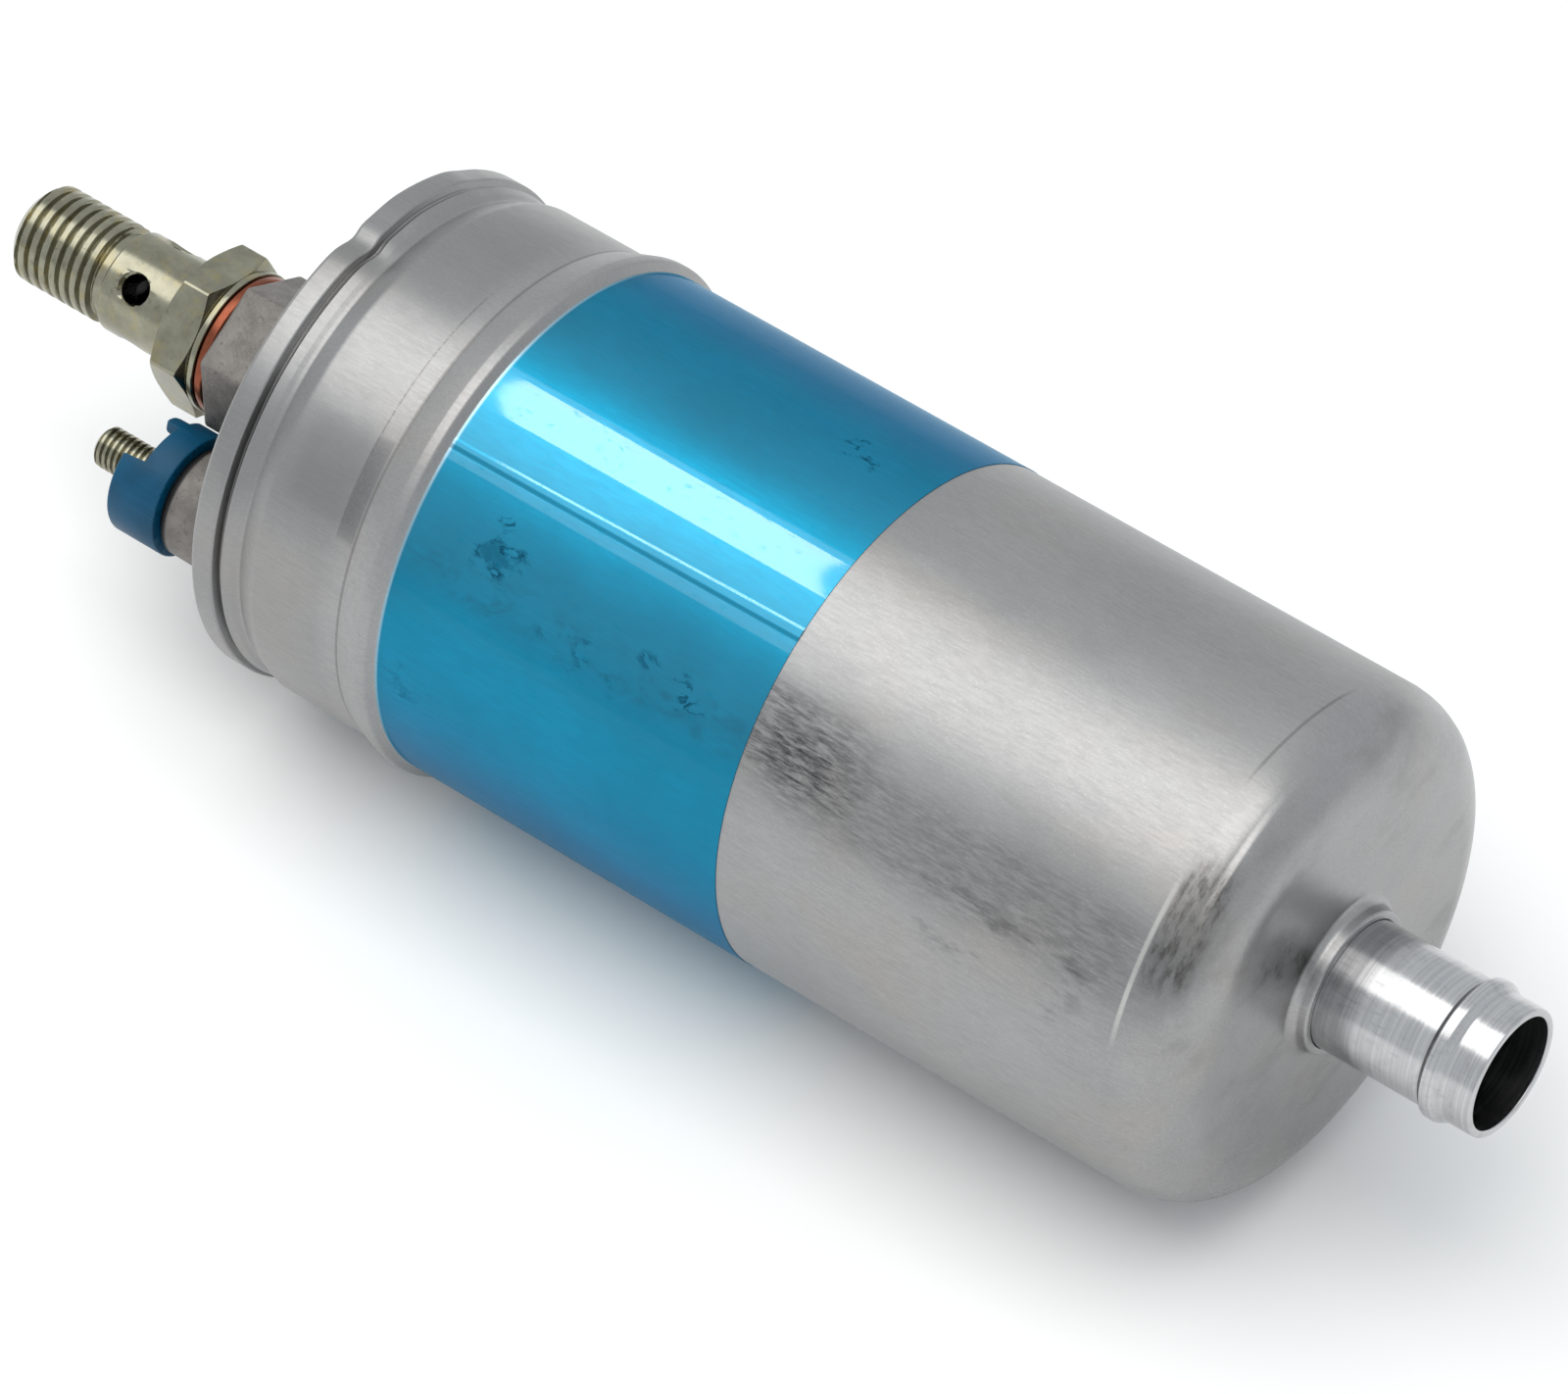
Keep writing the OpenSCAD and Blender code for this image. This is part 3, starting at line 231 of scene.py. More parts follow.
def rounded(corners, step=2.0, closed=True, arc_step=9.0, arc_length=2.0, fine=()):
    """Points (place, radius, weight) along a line of corners (place, radius, fillet, weight).

    Each corner becomes the arc of its fillet radius that touches both sides of the corner, with a point
    at least every arc_step degrees and every arc_length. Straight stretches get a point at least every
    step, and the weight, which is 0 where a corner gives none, runs evenly along them. Each fine
    (low, high, step) gives its own step to the stretches that lie between two places.
    """
    corners = np.array([(*corner, 0)[:4] for corner in corners], float)
    count = len(corners)
    arcs = []
    for i, (*here, fillet, weight) in enumerate(corners):
        at_end = not closed and i in (0, count - 1)
        if at_end or fillet == 0:
            arcs.append(np.array([[*here, weight]]))
            continue
        back = corners[i - 1, :2] - here
        ahead = corners[(i + 1) % count, :2] - here
        back_length, ahead_length = np.linalg.norm(back), np.linalg.norm(ahead)
        back, ahead = back / back_length, ahead / ahead_length
        half = math.acos(np.clip(back @ ahead, -1, 1)) / 2
        reach = min(fillet / math.tan(half), 0.49 * back_length, 0.49 * ahead_length)
        centre = here + (back + ahead) / np.linalg.norm(back + ahead) * reach / math.cos(half)
        turn = math.pi - 2 * half
        pieces = max(2, math.degrees(turn) / arc_step, turn * reach * math.tan(half) / arc_length)
        t = np.linspace(0, 1, math.ceil(pieces) + 1)[:, None]
        start, end = here + back * reach - centre, here + ahead * reach - centre
        arc = centre + (np.sin((1 - t) * turn) * start + np.sin(t * turn) * end) / math.sin(turn)
        arcs.append(np.hstack([arc, np.full((len(arc), 1), weight)]))
    parts = []
    for i, arc in enumerate(arcs):
        parts.append(arc)
        if closed or i < count - 1:
            first, last = arc[-1], arcs[(i + 1) % count][0]
            near, far = sorted((first[0], last[0]))
            steps = [own for low, high, own in fine if low <= near and far <= high]
            pieces = math.ceil(np.linalg.norm(last[:2] - first[:2]) / min([step, *steps]))
            if pieces > 1:
                parts.append(first + (last - first) * (np.arange(1, pieces) / pieces)[:, None])
    return np.vstack(parts)


def wheel(path, count):
    """Arrays of place, radius, weight and angle over a profile's points and count angles round the axis."""
    angles = 2 * np.pi * np.arange(count) / count
    x, r, w = (np.repeat(path[:, i:i + 1], count, axis=1) for i in range(3))
    return x, r, w, np.repeat(angles[None], len(path), axis=0)


def about(x, r, a, centre=(0.0, 0.0)):
    """Points at place x along an axis through centre, at radius r and angle a from +Y towards +Z."""
    return np.stack([x, centre[0] + r * np.cos(a), centre[1] + r * np.sin(a)], axis=-1)


def terminal_centre(angle):
    """Where a terminal's axis crosses the plane of Y and Z."""
    return TERMINAL_OFFSET * math.cos(angle), TERMINAL_OFFSET * math.sin(angle)


def hexagon_corner(flats):
    """Radius of a hexagon's corners: half its size across flats over the cosine of 30 degrees."""
    return flats / 2 / math.cos(math.radians(30))


def hexagon(a, flats, corner, edge):
    """Radius of a hexagon at angle a: half the flats over the cosine of the angle to the nearest flat's
    middle, with each corner rounded by a power mean of the two flats beside it. A higher edge is sharper."""
    total = sum(np.clip(np.cos(a - corner - math.radians(30 + 60 * i)), 0, 1) ** edge for i in range(6))
    return flats / 2 / total ** (1 / edge)


def thread(r, x, a, crest, depth, start, end, pitch):
    """Radius r cut by a right-handed thread between two places: a rounded wave of x / pitch - a / 2pi
    runs from the crest down by depth, and never adds to r. The groove takes 0.56 of the pitch."""
    phase = (x / pitch - a / (2 * np.pi)) % 1
    groove = crest - depth * (1 - smooth(0.0, 0.56, np.abs(phase - 0.5) * 2))
    inside = (x >= start) & (x <= end)
    return np.where(inside, np.minimum(r, groove), r)


def add_object(name, data):
    """A new object in the scene that holds a mesh, a lamp or a camera."""
    made = bpy.data.objects.new(name, data)
    bpy.context.scene.collection.objects.link(made)
    return made


def add_grid(name, points, wrap_rows=True, wrap_columns=True, fill=False):
    """A new object of the quads between neighbours on a grid of points (rows, columns, 3) in millimetres.

    A wrapped direction joins its last points to its first. Points that meet, as at a pole, are merged.
    """
    rows, columns = points.shape[:2]
    index = np.arange(rows * columns).reshape(rows, columns)
    if wrap_rows:
        index = np.vstack([index, index[:1]])
    if wrap_columns:
        index = np.hstack([index, index[:, :1]])
    quads = np.stack([index[:-1, :-1], index[:-1, 1:], index[1:, 1:], index[1:, :-1]], axis=-1).reshape(-1, 4)
    mesh = bpy.data.meshes.new(name)
    mesh.vertices.add(rows * columns)
    mesh.vertices.foreach_set("co", (points * MM).ravel())
    mesh.loops.add(quads.size)
    mesh.loops.foreach_set("vertex_index", quads.ravel())
    mesh.polygons.add(len(quads))
    mesh.polygons.foreach_set("loop_start", np.arange(len(quads)) * 4)
    mesh.update(calc_edges=True)
    tidy_mesh(mesh, fill)
    return add_object(name, mesh)


def tidy_mesh(mesh, fill=False):
    """Merges points that meet, fills the open ends where asked, and turns the faces outwards."""
    work = bmesh.new()
    work.from_mesh(mesh)
    bmesh.ops.remove_doubles(work, verts=work.verts, dist=1e-7)
    if fill:
        bmesh.ops.holes_fill(work, edges=[e for e in work.edges if e.is_boundary], sides=0)
    bmesh.ops.recalc_face_normals(work, faces=work.faces)
    work.to_mesh(mesh)
    work.free()


def turned(name, corners, step, count, closed=True, centre=(0.0, 0.0)):
    """A new object turned from a section's corners about an axis along X through centre. A section that
    isn't closed starts and ends on the axis."""
    x, r, _, a = wheel(rounded(corners, step, closed), count)
    return add_grid(name, about(x, r, a, centre), wrap_rows=closed)


def combine(target, tool, operation):
    """Changes the target's mesh by a boolean with the tool, which is deleted."""
    modifier = target.modifiers.new("combine", "BOOLEAN")
    modifier.operation = operation
    modifier.object = tool
    modifier.solver = "EXACT"
    bpy.context.view_layer.update()
    mesh = bpy.data.meshes.new_from_object(target.evaluated_get(bpy.context.evaluated_depsgraph_get()))
    target.modifiers.clear()
    target.data = mesh
    bpy.data.objects.remove(tool)
    if not len(mesh.polygons):
        raise RuntimeError(f"{target.name} came out of its boolean empty")
    tidy_mesh(mesh)


def dress(made, slot, node, sharp=35.0):
    """Finishes a piece: smooth faces with crisp edges where they turn more than sharp degrees, its slot's material
    and the body it rides on, and hides the CAD node it stands for."""
    mesh = made.data
    mesh.polygons.foreach_set("use_smooth", np.ones(len(mesh.polygons), bool))
    mesh.set_sharp_from_angle(angle=math.radians(sharp))
    mesh.update()
    mesh.materials.clear()
    mesh.materials.append(material_of(slot))
    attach(made, BODY)
    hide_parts(node)


# Materials

def feed(tree, socket, value):
    """Links a socket to a Sock, or sets its own value. A colour gets its alpha of 1."""
    if isinstance(value, Sock):
        tree.links.new(value.socket, socket)
    else:
        socket.default_value = (*value, 1) if socket.type == "RGBA" else value


class Sock:
    """A shader socket that Python's operators work on: each adds the Math node of its operation."""

    def __init__(self, tree, socket=None):
        self.tree = tree
        self.socket = socket

    def node(self, kind, settings, inputs, output=0):
        """One output of a new node of a kind, with its settings made before its sockets are fed."""
        made = self.tree.nodes.new(kind)
        for name, value in settings.items():
            setattr(made, name, value)
        for name, value in inputs.items():
            feed(self.tree, made.inputs[name], value)
        return Sock(self.tree, made.outputs[output])

    def math(self, operation, *terms):
        """A Math node over its terms."""
        return self.node("ShaderNodeMath", {"operation": operation}, dict(enumerate(terms)))

    def __add__(self, other):
        return self.math("ADD", self, other)

    def __sub__(self, other):
        return self.math("SUBTRACT", self, other)

    def __rsub__(self, other):
        return self.math("SUBTRACT", other, self)

    def __mul__(self, other):
        return self.math("MULTIPLY", self, other)

    __radd__ = __add__
    __rmul__ = __mul__

    def step(self, low, high):
        """A smooth step of this value from 0 at low to 1 at high."""
        return self.node("ShaderNodeMapRange", {"interpolation_type": "SMOOTHSTEP", "clamp": True},
            {"Value": self, "From Min": low, "From Max": high})


class Finish:
    """A material under way: its nodes, its Object coordinates and its shader."""

    # The Mix node's sockets for colours, which it holds beside those for numbers and vectors.
    MIX_FACTOR, MIX_FIRST, MIX_SECOND, MIX_RESULT = 0, 6, 7, 2

    def __init__(self, name):
        self.material = bpy.data.materials.new(name)
        self.material.use_nodes = True
        self.tree = self.material.node_tree
        self.shader = self.tree.nodes["Principled BSDF"]
        self.sock = Sock(self.tree)
        self.point = self.sock.node("ShaderNodeTexCoord", {}, {}, "Object")

    def polar(self, centre=(0.0, 0.0)):
        """The point's place along X in millimetres, its angle in degrees and its radius about an axis
        through centre."""
        split = self.sock.node("ShaderNodeSeparateXYZ", {}, {"Vector": self.point})
        x, y, z = (Sock(self.tree, part) * (1 / MM) for part in split.socket.node.outputs)
        y, z = y - centre[0], z - centre[1]
        angle = self.sock.math("ARCTAN2", z, y) * (180 / math.pi)
        return x, angle, self.sock.math("SQRT", y * y + z * z)

    def noise(self, scale, detail=2.0, roughness=0.5, stretch=(1, 1, 1), offset=0.0, distortion=0.0):
        """Noise from 0 to 1 of scale cells a millimetre, stretched by the factors given along X, Y and Z.
        Each offset reads another part of the noise."""
        placed = self.sock.node("ShaderNodeMapping", {}, {"Vector": self.point,
            "Scale": tuple(1 / s for s in stretch), "Location": (offset, 0.37 * offset, 0.71 * offset)})
        return self.sock.node("ShaderNodeTexNoise", {"noise_dimensions": "3D"}, {"Vector": placed,
            "Scale": scale / MM, "Detail": detail, "Roughness": roughness, "Distortion": distortion})

    def mix(self, factor, first, second):
        """A colour between two, by a factor from 0 to 1. The factor is clamped."""
        return self.sock.node("ShaderNodeMix", {"data_type": "RGBA"},
            {self.MIX_FACTOR: factor, self.MIX_FIRST: first, self.MIX_SECOND: second}, self.MIX_RESULT)

    def layers(self, tone, *coats):
        """A colour under coats, each a factor and the colour that it mixes in."""
        for factor, colour in coats:
            tone = self.mix(factor, tone, colour)
        return tone

    def clouded(self, cloud, colour, first, second, high=0.7):
        """A colour that drifts with a noise between two shades of itself, given as factors."""
        return self.mix(cloud.step(0.3, high), shaded(colour, first), shaded(colour, second))

    def bump(self, height, distance, strength, under=None):
        """The normal bent by a height from 0 to 1 that stands for a distance in millimetres."""
        inputs = {"Height": height, "Distance": distance * MM, "Strength": strength}
        if under is not None:
            inputs["Normal"] = under
        return self.sock.node("ShaderNodeBump", {}, inputs)

    def done(self, **values):
        """Feeds the shader's sockets, named with underscores for spaces, and returns the material."""
        for name, value in values.items():
            feed(self.tree, self.shader.inputs[name.replace("_", " ")], value)
        return self.material


def finish_colour(name):
    """One of the finishes' colours in the settings."""
    return tuple(getattr(bpy.context.scene.pump_finish, name))


def shaded(colour, factor):
    """A colour with each part multiplied by a factor, held at 1."""
    return tuple(min(1.0, part * factor) for part in colour)


def tinted(colour, factors):
    """A colour with its parts multiplied by three factors."""
    return tuple(part * factor for part, factor in zip(colour, factors))


def window(value, low, high, soft):
    """A mask of 1 between low and high, with soft edges as wide as soft outside them."""
    return value.step(low - soft, low) * (1 - value.step(high, high + soft))


def blot(x, angle, ragged, at, reach, strength):
    """A mask on a place (x, angle) that fades to 0 at its reaches along and about the axis, less evenly
    where the ragged noise is high."""
    along = (x - at[0]) * (1 / reach[0])
    across = (angle - at[1]) * (1 / reach[1])
    return (1 - (along * along + across * across + ragged).step(0.1, 1)) * strength


def can_aluminium(name):
    """Drawn aluminium: fine grain along the axis, cloudy handling marks, dark specks, a band of painted shade
    below the highlight that is darkest by the label, painted shade on the shoulder, a painted shadow by the
    collar, painted shade in the creases and a painted highlight along the shoulder's knuckle.
    """
    look = Finish(name)
    base = finish_colour("aluminium")
    x, angle, radius = look.polar()

    # Noises: the drawn grain, the clouds of handling, streaks that break up the painted shade and highlight, and
    # the tool's rings.
    grain = look.noise(3.2, 3, 0.65, (7, 1, 1))
    fine = look.noise(6, 3, 0.7, (2.5, 1, 1), 4)
    cloud = look.noise(0.05, 5, 0.6, (1.6, 1, 1), 9)
    warm = look.noise(0.09, 3, 0.5, (1.5, 1, 1), 17)
    painted_streaks = look.noise(0.3, 4, 0.65, (3, 1, 1), 2)
    streak = look.noise(2.3, 4, 0.72, (6, 1, 1), 27)
    swirl = look.noise(0.16, 4, 0.6, (1, 2, 1), 33)
    arcs = look.noise(0.9, 4, 0.7, (1, 3, 3), 45)
    rings = look.noise(1.6, 2, 0.6, (1, 30, 30), 5)
    ripple = look.noise(0.12, 2, offset=23)

    # Places of the photo's marks, along the axis in millimetres and about it in degrees.
    face = x.step(48, 52)
    behind = 1 - x.step(-57.5, -54)
    # Painted shade along a band below the highlight, darkest by the label: patch, trail, waist and mark. The speck
    # mask adds dark specks beside the band.
    patch = window(x, -1, 5, 12) * window(angle, 135, 146, 7)
    trail = window(x, 6, 44, 10) * window(angle, 141, 152, 7) * 0.55
    waist = window(x, -62, -55.6, 3) * window(angle, 133, 147, 5) * 0.7
    mark = window(x, -55.9, -53.9, 0.2) * window(angle, 130, 151, 2)
    shoulder = window(x, 49.5, 53, 1.2) * window(angle, 125, 143, 10)
    # A painted highlight along the shoulder's knuckle.
    knuckle_highlight = window(x, 48.35, 48.6, 0.22) * window(angle, 136, 154, 12) * (painted_streaks * 0.9 + 0.25)
    collar = window(radius, 11, 16, 5) * x.step(54.5, 56.2) * window(angle, 130, 138, 14)
    speck = window(x, 24, 42, 4) * window(angle, 153, 163, 5) * painted_streaks.step(0.52, 0.62)

    # What each mark's noise leaves of it.
    band_shade_and_specks = (patch + trail) * streak.step(0.3, 0.7) * (painted_streaks * 0.7 + 0.4) + speck * 0.3
    band_shade_and_specks = band_shade_and_specks + (waist * 0.4 + mark * 0.5) * (fine * 0.9 + 0.25)
    # Painted shade on the shoulder past its knuckle and a painted shadow by the collar, broken up by arc noise.
    shoulder_and_collar_shade = (shoulder + collar) * (arcs.step(0.38, 0.64) * 0.62 + 0.38)

    # Thin lines of painted shade in the creases where the sheet folds: at the bead, at the groove, at the shoulder
    # and at the waist.
    crease_shade = window(x, -53.6, -53.4, 0.15) * 0.5
    crease_shade = crease_shade + window(x, -70.45, -70.3, 0.12) * window(angle, 95, 168, 12) * 0.9
    crease_shade = crease_shade + window(x, 48.3, 48.5, 0.15) * window(angle, 74, 96, 10) * 0.5
    crease_shade = crease_shade + window(x, -55.9, -55.8, 0.12) * window(angle, 96, 128, 10) * streak.step(0.35, 0.55) * 0.6

    tone = look.layers(look.clouded(cloud, base, 0.92, 1.07),
        (warm.step(0.45, 0.75) * 0.5, tinted(base, (1.06, 1.0, 0.93))),
        (grain.step(0.3, 0.75) * 0.12, (0.08, 0.08, 0.085)),
        (fine.step(0.5, 0.8) * 0.2, (0.7, 0.7, 0.7)),
        (band_shade_and_specks * 0.95, (0.065, 0.065, 0.07)),
        (shoulder_and_collar_shade * 0.85, (0.07, 0.065, 0.06)),
        (face * swirl.step(0.5, 0.7) * 0.3, (0.17, 0.165, 0.16)),
        (crease_shade * 0.7, (0.06, 0.05, 0.04)),
        (knuckle_highlight * 0.75, (0.75, 0.74, 0.7)),
        (behind * 0.32, shaded(base, 0.6)))
    rough = bpy.context.scene.pump_finish.brushing + (grain - 0.5) * 0.14 + (cloud - 0.5) * 0.16
    rough = rough + band_shade_and_specks * 0.06 - face * 0.12 - behind * 0.06 - knuckle_highlight * 0.1
    normal = look.bump(grain * 0.6 + fine * 0.4, 0.012, 0.5)
    normal = look.bump(rings, 0.01, 0.25, normal)
    normal = look.bump(ripple, 0.35, 0.35, normal)
    return look.done(Base_Color=tone, Metallic=1.0, Roughness=rough, Normal=normal)


def label_film(name):
    """Blue metallised film: gloss coat over faint grain, scuffs, a band of painted shade below the highlight, and
    a pale cut edge.
    """
    look = Finish(name)
    base = finish_colour("film")
    x, angle, _ = look.polar()
    grain = look.noise(3, 3, 0.65, (9, 1, 1), 3)
    cloud = look.noise(0.07, 4, 0.6, (1.4, 1, 1), 7)
    scratch = look.noise(0.42, 4, 0.62, (1.7, 1, 1), 1, 1.1)
    ragged = (look.noise(0.5, 4, 0.65, (1.5, 1, 1), 19) - 0.42) * 6
    dust = look.noise(1.4, 4, 0.7, (2, 1, 1), 13)

    # The photo's scuffs, each at a place with its reaches and strength: thin strokes over a soft smear.
    spots = sum(blot(x, angle, ragged, *scuff) for scuff in (
        ((-36.5, 138), (4.4, 9.5), 1.6), ((-10.3, 144), (2.6, 6), 1.4), ((-15.7, 142), (1.8, 3.4), 1.1),
        ((-10.7, 78.5), (3.2, 7), 1.5), ((-22.5, 148), (7, 5.4), 0.8), ((-44, 177), (4.4, 10), 0.6)))
    strokes = 1 - look.sock.math("ABSOLUTE", scratch - 0.5).step(0.01, 0.06)
    scuff = spots * (strokes * 0.5 + scratch.step(0.42, 0.62) * 0.4)
    # A band of painted shade runs along the label below the highlight, broken up by scratch noise.
    painted_streaks = window(x, -44, -4, 6) * window(angle, 144, 149, 4) * scratch.step(0.4, 0.75) * 0.5
    edge = 1 - (x - float(LABEL_LOW[0])).step(0.15, 0.45)

    tone = look.layers(look.clouded(cloud, base, 0.92, 1.08),
        (grain.step(0.3, 0.7) * 0.3, shaded(base, 0.72)),
        (painted_streaks, shaded(base, 0.5)),
        (scuff * 0.85, (0.003, 0.06, 0.11)),
        (edge * 0.6, (0.45, 0.62, 0.7)))
    rough = 0.4 + (grain - 0.5) * 0.1 + (cloud - 0.5) * 0.06 + scuff * 0.2
    glossy = window(angle, 98, 138, 24) * 0.62 + 0.38
    coat = (0.78 - scuff * 0.6 - dust.step(0.6, 0.7) * 0.35) * glossy
    return look.done(Base_Color=tone, Metallic=1.0, Roughness=rough, Normal=look.bump(grain, 0.01, 0.35),
        Coat_Weight=coat, Coat_Roughness=0.03, Coat_IOR=1.5, Specular_Tint=(0.0, 0.4, 0.6))


def nipple_aluminium(name):
    """Bright turned aluminium with fine tool rings and a little chatter."""
    look = Finish(name)
    rings = look.noise(3.5, 3, 0.6, (1, 60, 60))
    chatter = look.noise(0.5, 3, 0.6, offset=6)
    along = look.noise(2.5, 3, 0.7, (6, 1, 1), 8)
    tone = look.layers(look.mix(rings.step(0.3, 0.7), (0.42, 0.42, 0.43), (0.54, 0.54, 0.55)),
        (chatter.step(0.5, 0.75) * 0.3, (0.25, 0.25, 0.25)),
        (along.step(0.55, 0.7) * 0.3, (0.22, 0.22, 0.23)))
    rough = 0.2 + (rings - 0.5) * 0.1 + (chatter - 0.5) * 0.16
    normal = look.bump(rings * 0.5 + chatter * 0.5, 0.014, 0.3)
    return look.done(Base_Color=tone, Metallic=1.0, Roughness=rough, Normal=normal)


def cast_aluminium(name):
    """Sand-grey casting: coarse grain, pits and darker hollows, and a painted black shadow on the boss under the
    terminal's shroud.
    """
    look = Finish(name)
    base = finish_colour("casting")
    x, _, radius = look.polar(terminal_centre(TERMINAL_A))
    sand = look.noise(3, 5, 0.7)
    cloud = look.noise(0.3, 4, 0.6, offset=5)
    pits = look.noise(1.6, 3, 0.6, offset=8)
    tone = look.layers(look.clouded(cloud, base, 0.75, 1.15),
        (pits.step(0.58, 0.72) * 0.6, shaded(base, 0.35)),
        (sand.step(0.55, 0.7) * 0.4, shaded(base, 2.0)),
        # A painted black shadow where the terminal's shroud sits on its boss.
        (window(x, -88.5, -86.5, 0.4) * (1 - radius.step(6.8, 7)), (0.01, 0.01, 0.01)))
    rough = 0.5 + (sand - 0.5) * 0.3
    normal = look.bump(sand * 0.6 + pits * 0.4, 0.2, 0.8)
    return look.done(Base_Color=tone, Metallic=0.6, Roughness=rough, Normal=normal)


def plated_steel(name):
    """Zinc-plated steel with an olive tint, turned rings and duller patches, and painted black shade inside the
    valve.
    """
    look = Finish(name)
    base = finish_colour("zinc")
    x, _, radius = look.polar()
    rings = look.noise(4, 2, 0.6, (1, 40, 40))
    cloud = look.noise(0.35, 4, 0.65, offset=3)
    grime = look.noise(0.9, 5, 0.7, offset=11)
    tarnish = look.noise(0.5, 3, 0.6, offset=15)
    tone = look.layers(look.mix(cloud.step(0.25, 0.75), shaded(base, 0.82), shaded(base, 1.15)),
        (tarnish.step(0.5, 0.7) * 0.45, tinted(base, (1.25, 1.05, 0.6))),
        (grime.step(0.56, 0.75) * 0.6, (0.08, 0.07, 0.05)),
        # Painted black shade inside the valve's bore and cross holes.
        (window(x, -108.2, -94, 0.1) * (1 - radius.step(4.4, 5.75)), (0.004, 0.004, 0.004)))
    rough = 0.21 + (cloud - 0.5) * 0.16 + (rings - 0.5) * 0.1
    normal = look.bump(rings * 0.6 + grime * 0.4, 0.02, 0.4)
    return look.done(Base_Color=tone, Metallic=1.0, Roughness=rough, Normal=normal)


def shroud_plastic(name):
    """Satin moulded plastic with a faint grain."""
    look = Finish(name)
    grain = look.noise(4, 3, 0.6)
    tone = look.clouded(look.noise(0.25, 3, 0.5, offset=4), finish_colour("shroud"), 0.88, 1.12)
    rough = 0.42 + (grain - 0.5) * 0.12
    normal = look.bump(grain, 0.03, 0.25)
    return look.done(Base_Color=tone, Roughness=rough, Normal=normal, Specular_IOR_Level=0.25)


def plain_metal(name, colour, rough, ring_scale=3.0, tarnish=0.3, depth=0.02):
    """Worked metal: rings or lines round the axis, cloudy tarnish and a light grain."""
    look = Finish(name)
    rings = look.noise(ring_scale, 3, 0.6, (1, 40, 40))
    cloud = look.noise(0.3, 4, 0.6, offset=5)
    grain = look.noise(5, 3, 0.6, offset=2)
    tone = look.clouded(cloud, colour, 1, 1 - tarnish, 0.75)
    roughness = rough + (rings - 0.5) * 0.12 + (cloud - 0.5) * 0.1
    normal = look.bump(rings * 0.6 + grain * 0.4, depth, 0.4)
    return look.done(Base_Color=tone, Metallic=1.0, Roughness=roughness, Normal=normal)


def plain_solid(name, colour, rough, grain_scale=4.0):
    """Moulded, pressed or sintered matter: fine grain and cloudy tone."""
    look = Finish(name)
    grain = look.noise(grain_scale, 4, 0.65)
    tone = look.clouded(look.noise(0.25, 3, 0.5, offset=3), colour, 0.85, 1.15)
    rough = rough + (grain - 0.5) * 0.2
    return look.done(Base_Color=tone, Roughness=rough, Normal=look.bump(grain, 0.03, 0.4))


def strainer_mesh(name):
    """Woven strainer cloth: fine waves along the axis, crossed with waves round it."""
    look = Finish(name)
    x, angle, _ = look.polar()
    weave = look.sock.math("SINE", x * 14) * look.sock.math("SINE", angle * 1.9) * 0.5 + 0.5
    tone = look.mix(weave, (0.3, 0.28, 0.2), (0.62, 0.6, 0.5))
    return look.done(Base_Color=tone, Roughness=0.6, Normal=look.bump(weave, 0.1, 0.6))


FINISHES = {
    "can_aluminium": can_aluminium,
    "label_film": label_film,
    "nipple_aluminium": nipple_aluminium,
    "cast_aluminium": cast_aluminium,
    "plated_steel": plated_steel,
    "copper": lambda name: plain_metal(name, finish_colour("copper"), 0.3, 4.0, 0.45, 0.03),
    "shroud_plastic": shroud_plastic,
    "black_rubber": lambda name: plain_solid(name, (0.02, 0.02, 0.02), 0.6, 3.0),
    "brown_plastic": lambda name: plain_solid(name, (0.2, 0.09, 0.04), 0.45),
    "brass": lambda name: plain_metal(name, (0.62, 0.45, 0.18), 0.28),
    "spring_steel": lambda name: plain_metal(name, (0.42, 0.43, 0.45), 0.3, 6.0, 0.2),
    "soft_steel": lambda name: plain_metal(name, (0.38, 0.385, 0.39), 0.36, 2.0),
    "ferrite": lambda name: plain_solid(name, (0.05, 0.05, 0.055), 0.55, 3.0),
    "carbon": lambda name: plain_solid(name, (0.035, 0.035, 0.04), 0.5, 6.0),
    "bronze": lambda name: plain_metal(name, (0.42, 0.28, 0.13), 0.42, 2.0, 0.35, 0.04),
    "bright_steel": lambda name: plain_metal(name, (0.66, 0.66, 0.68), 0.18, 5.0, 0.12, 0.01),
    "strainer_mesh": strainer_mesh,
}


def material_of(slot):
    """The material of one of the record's slots, made when it is first asked for."""
    name = f"finish_{slot}"
    return bpy.data.materials.get(name) or FINISHES[slot](name)


# Pieces

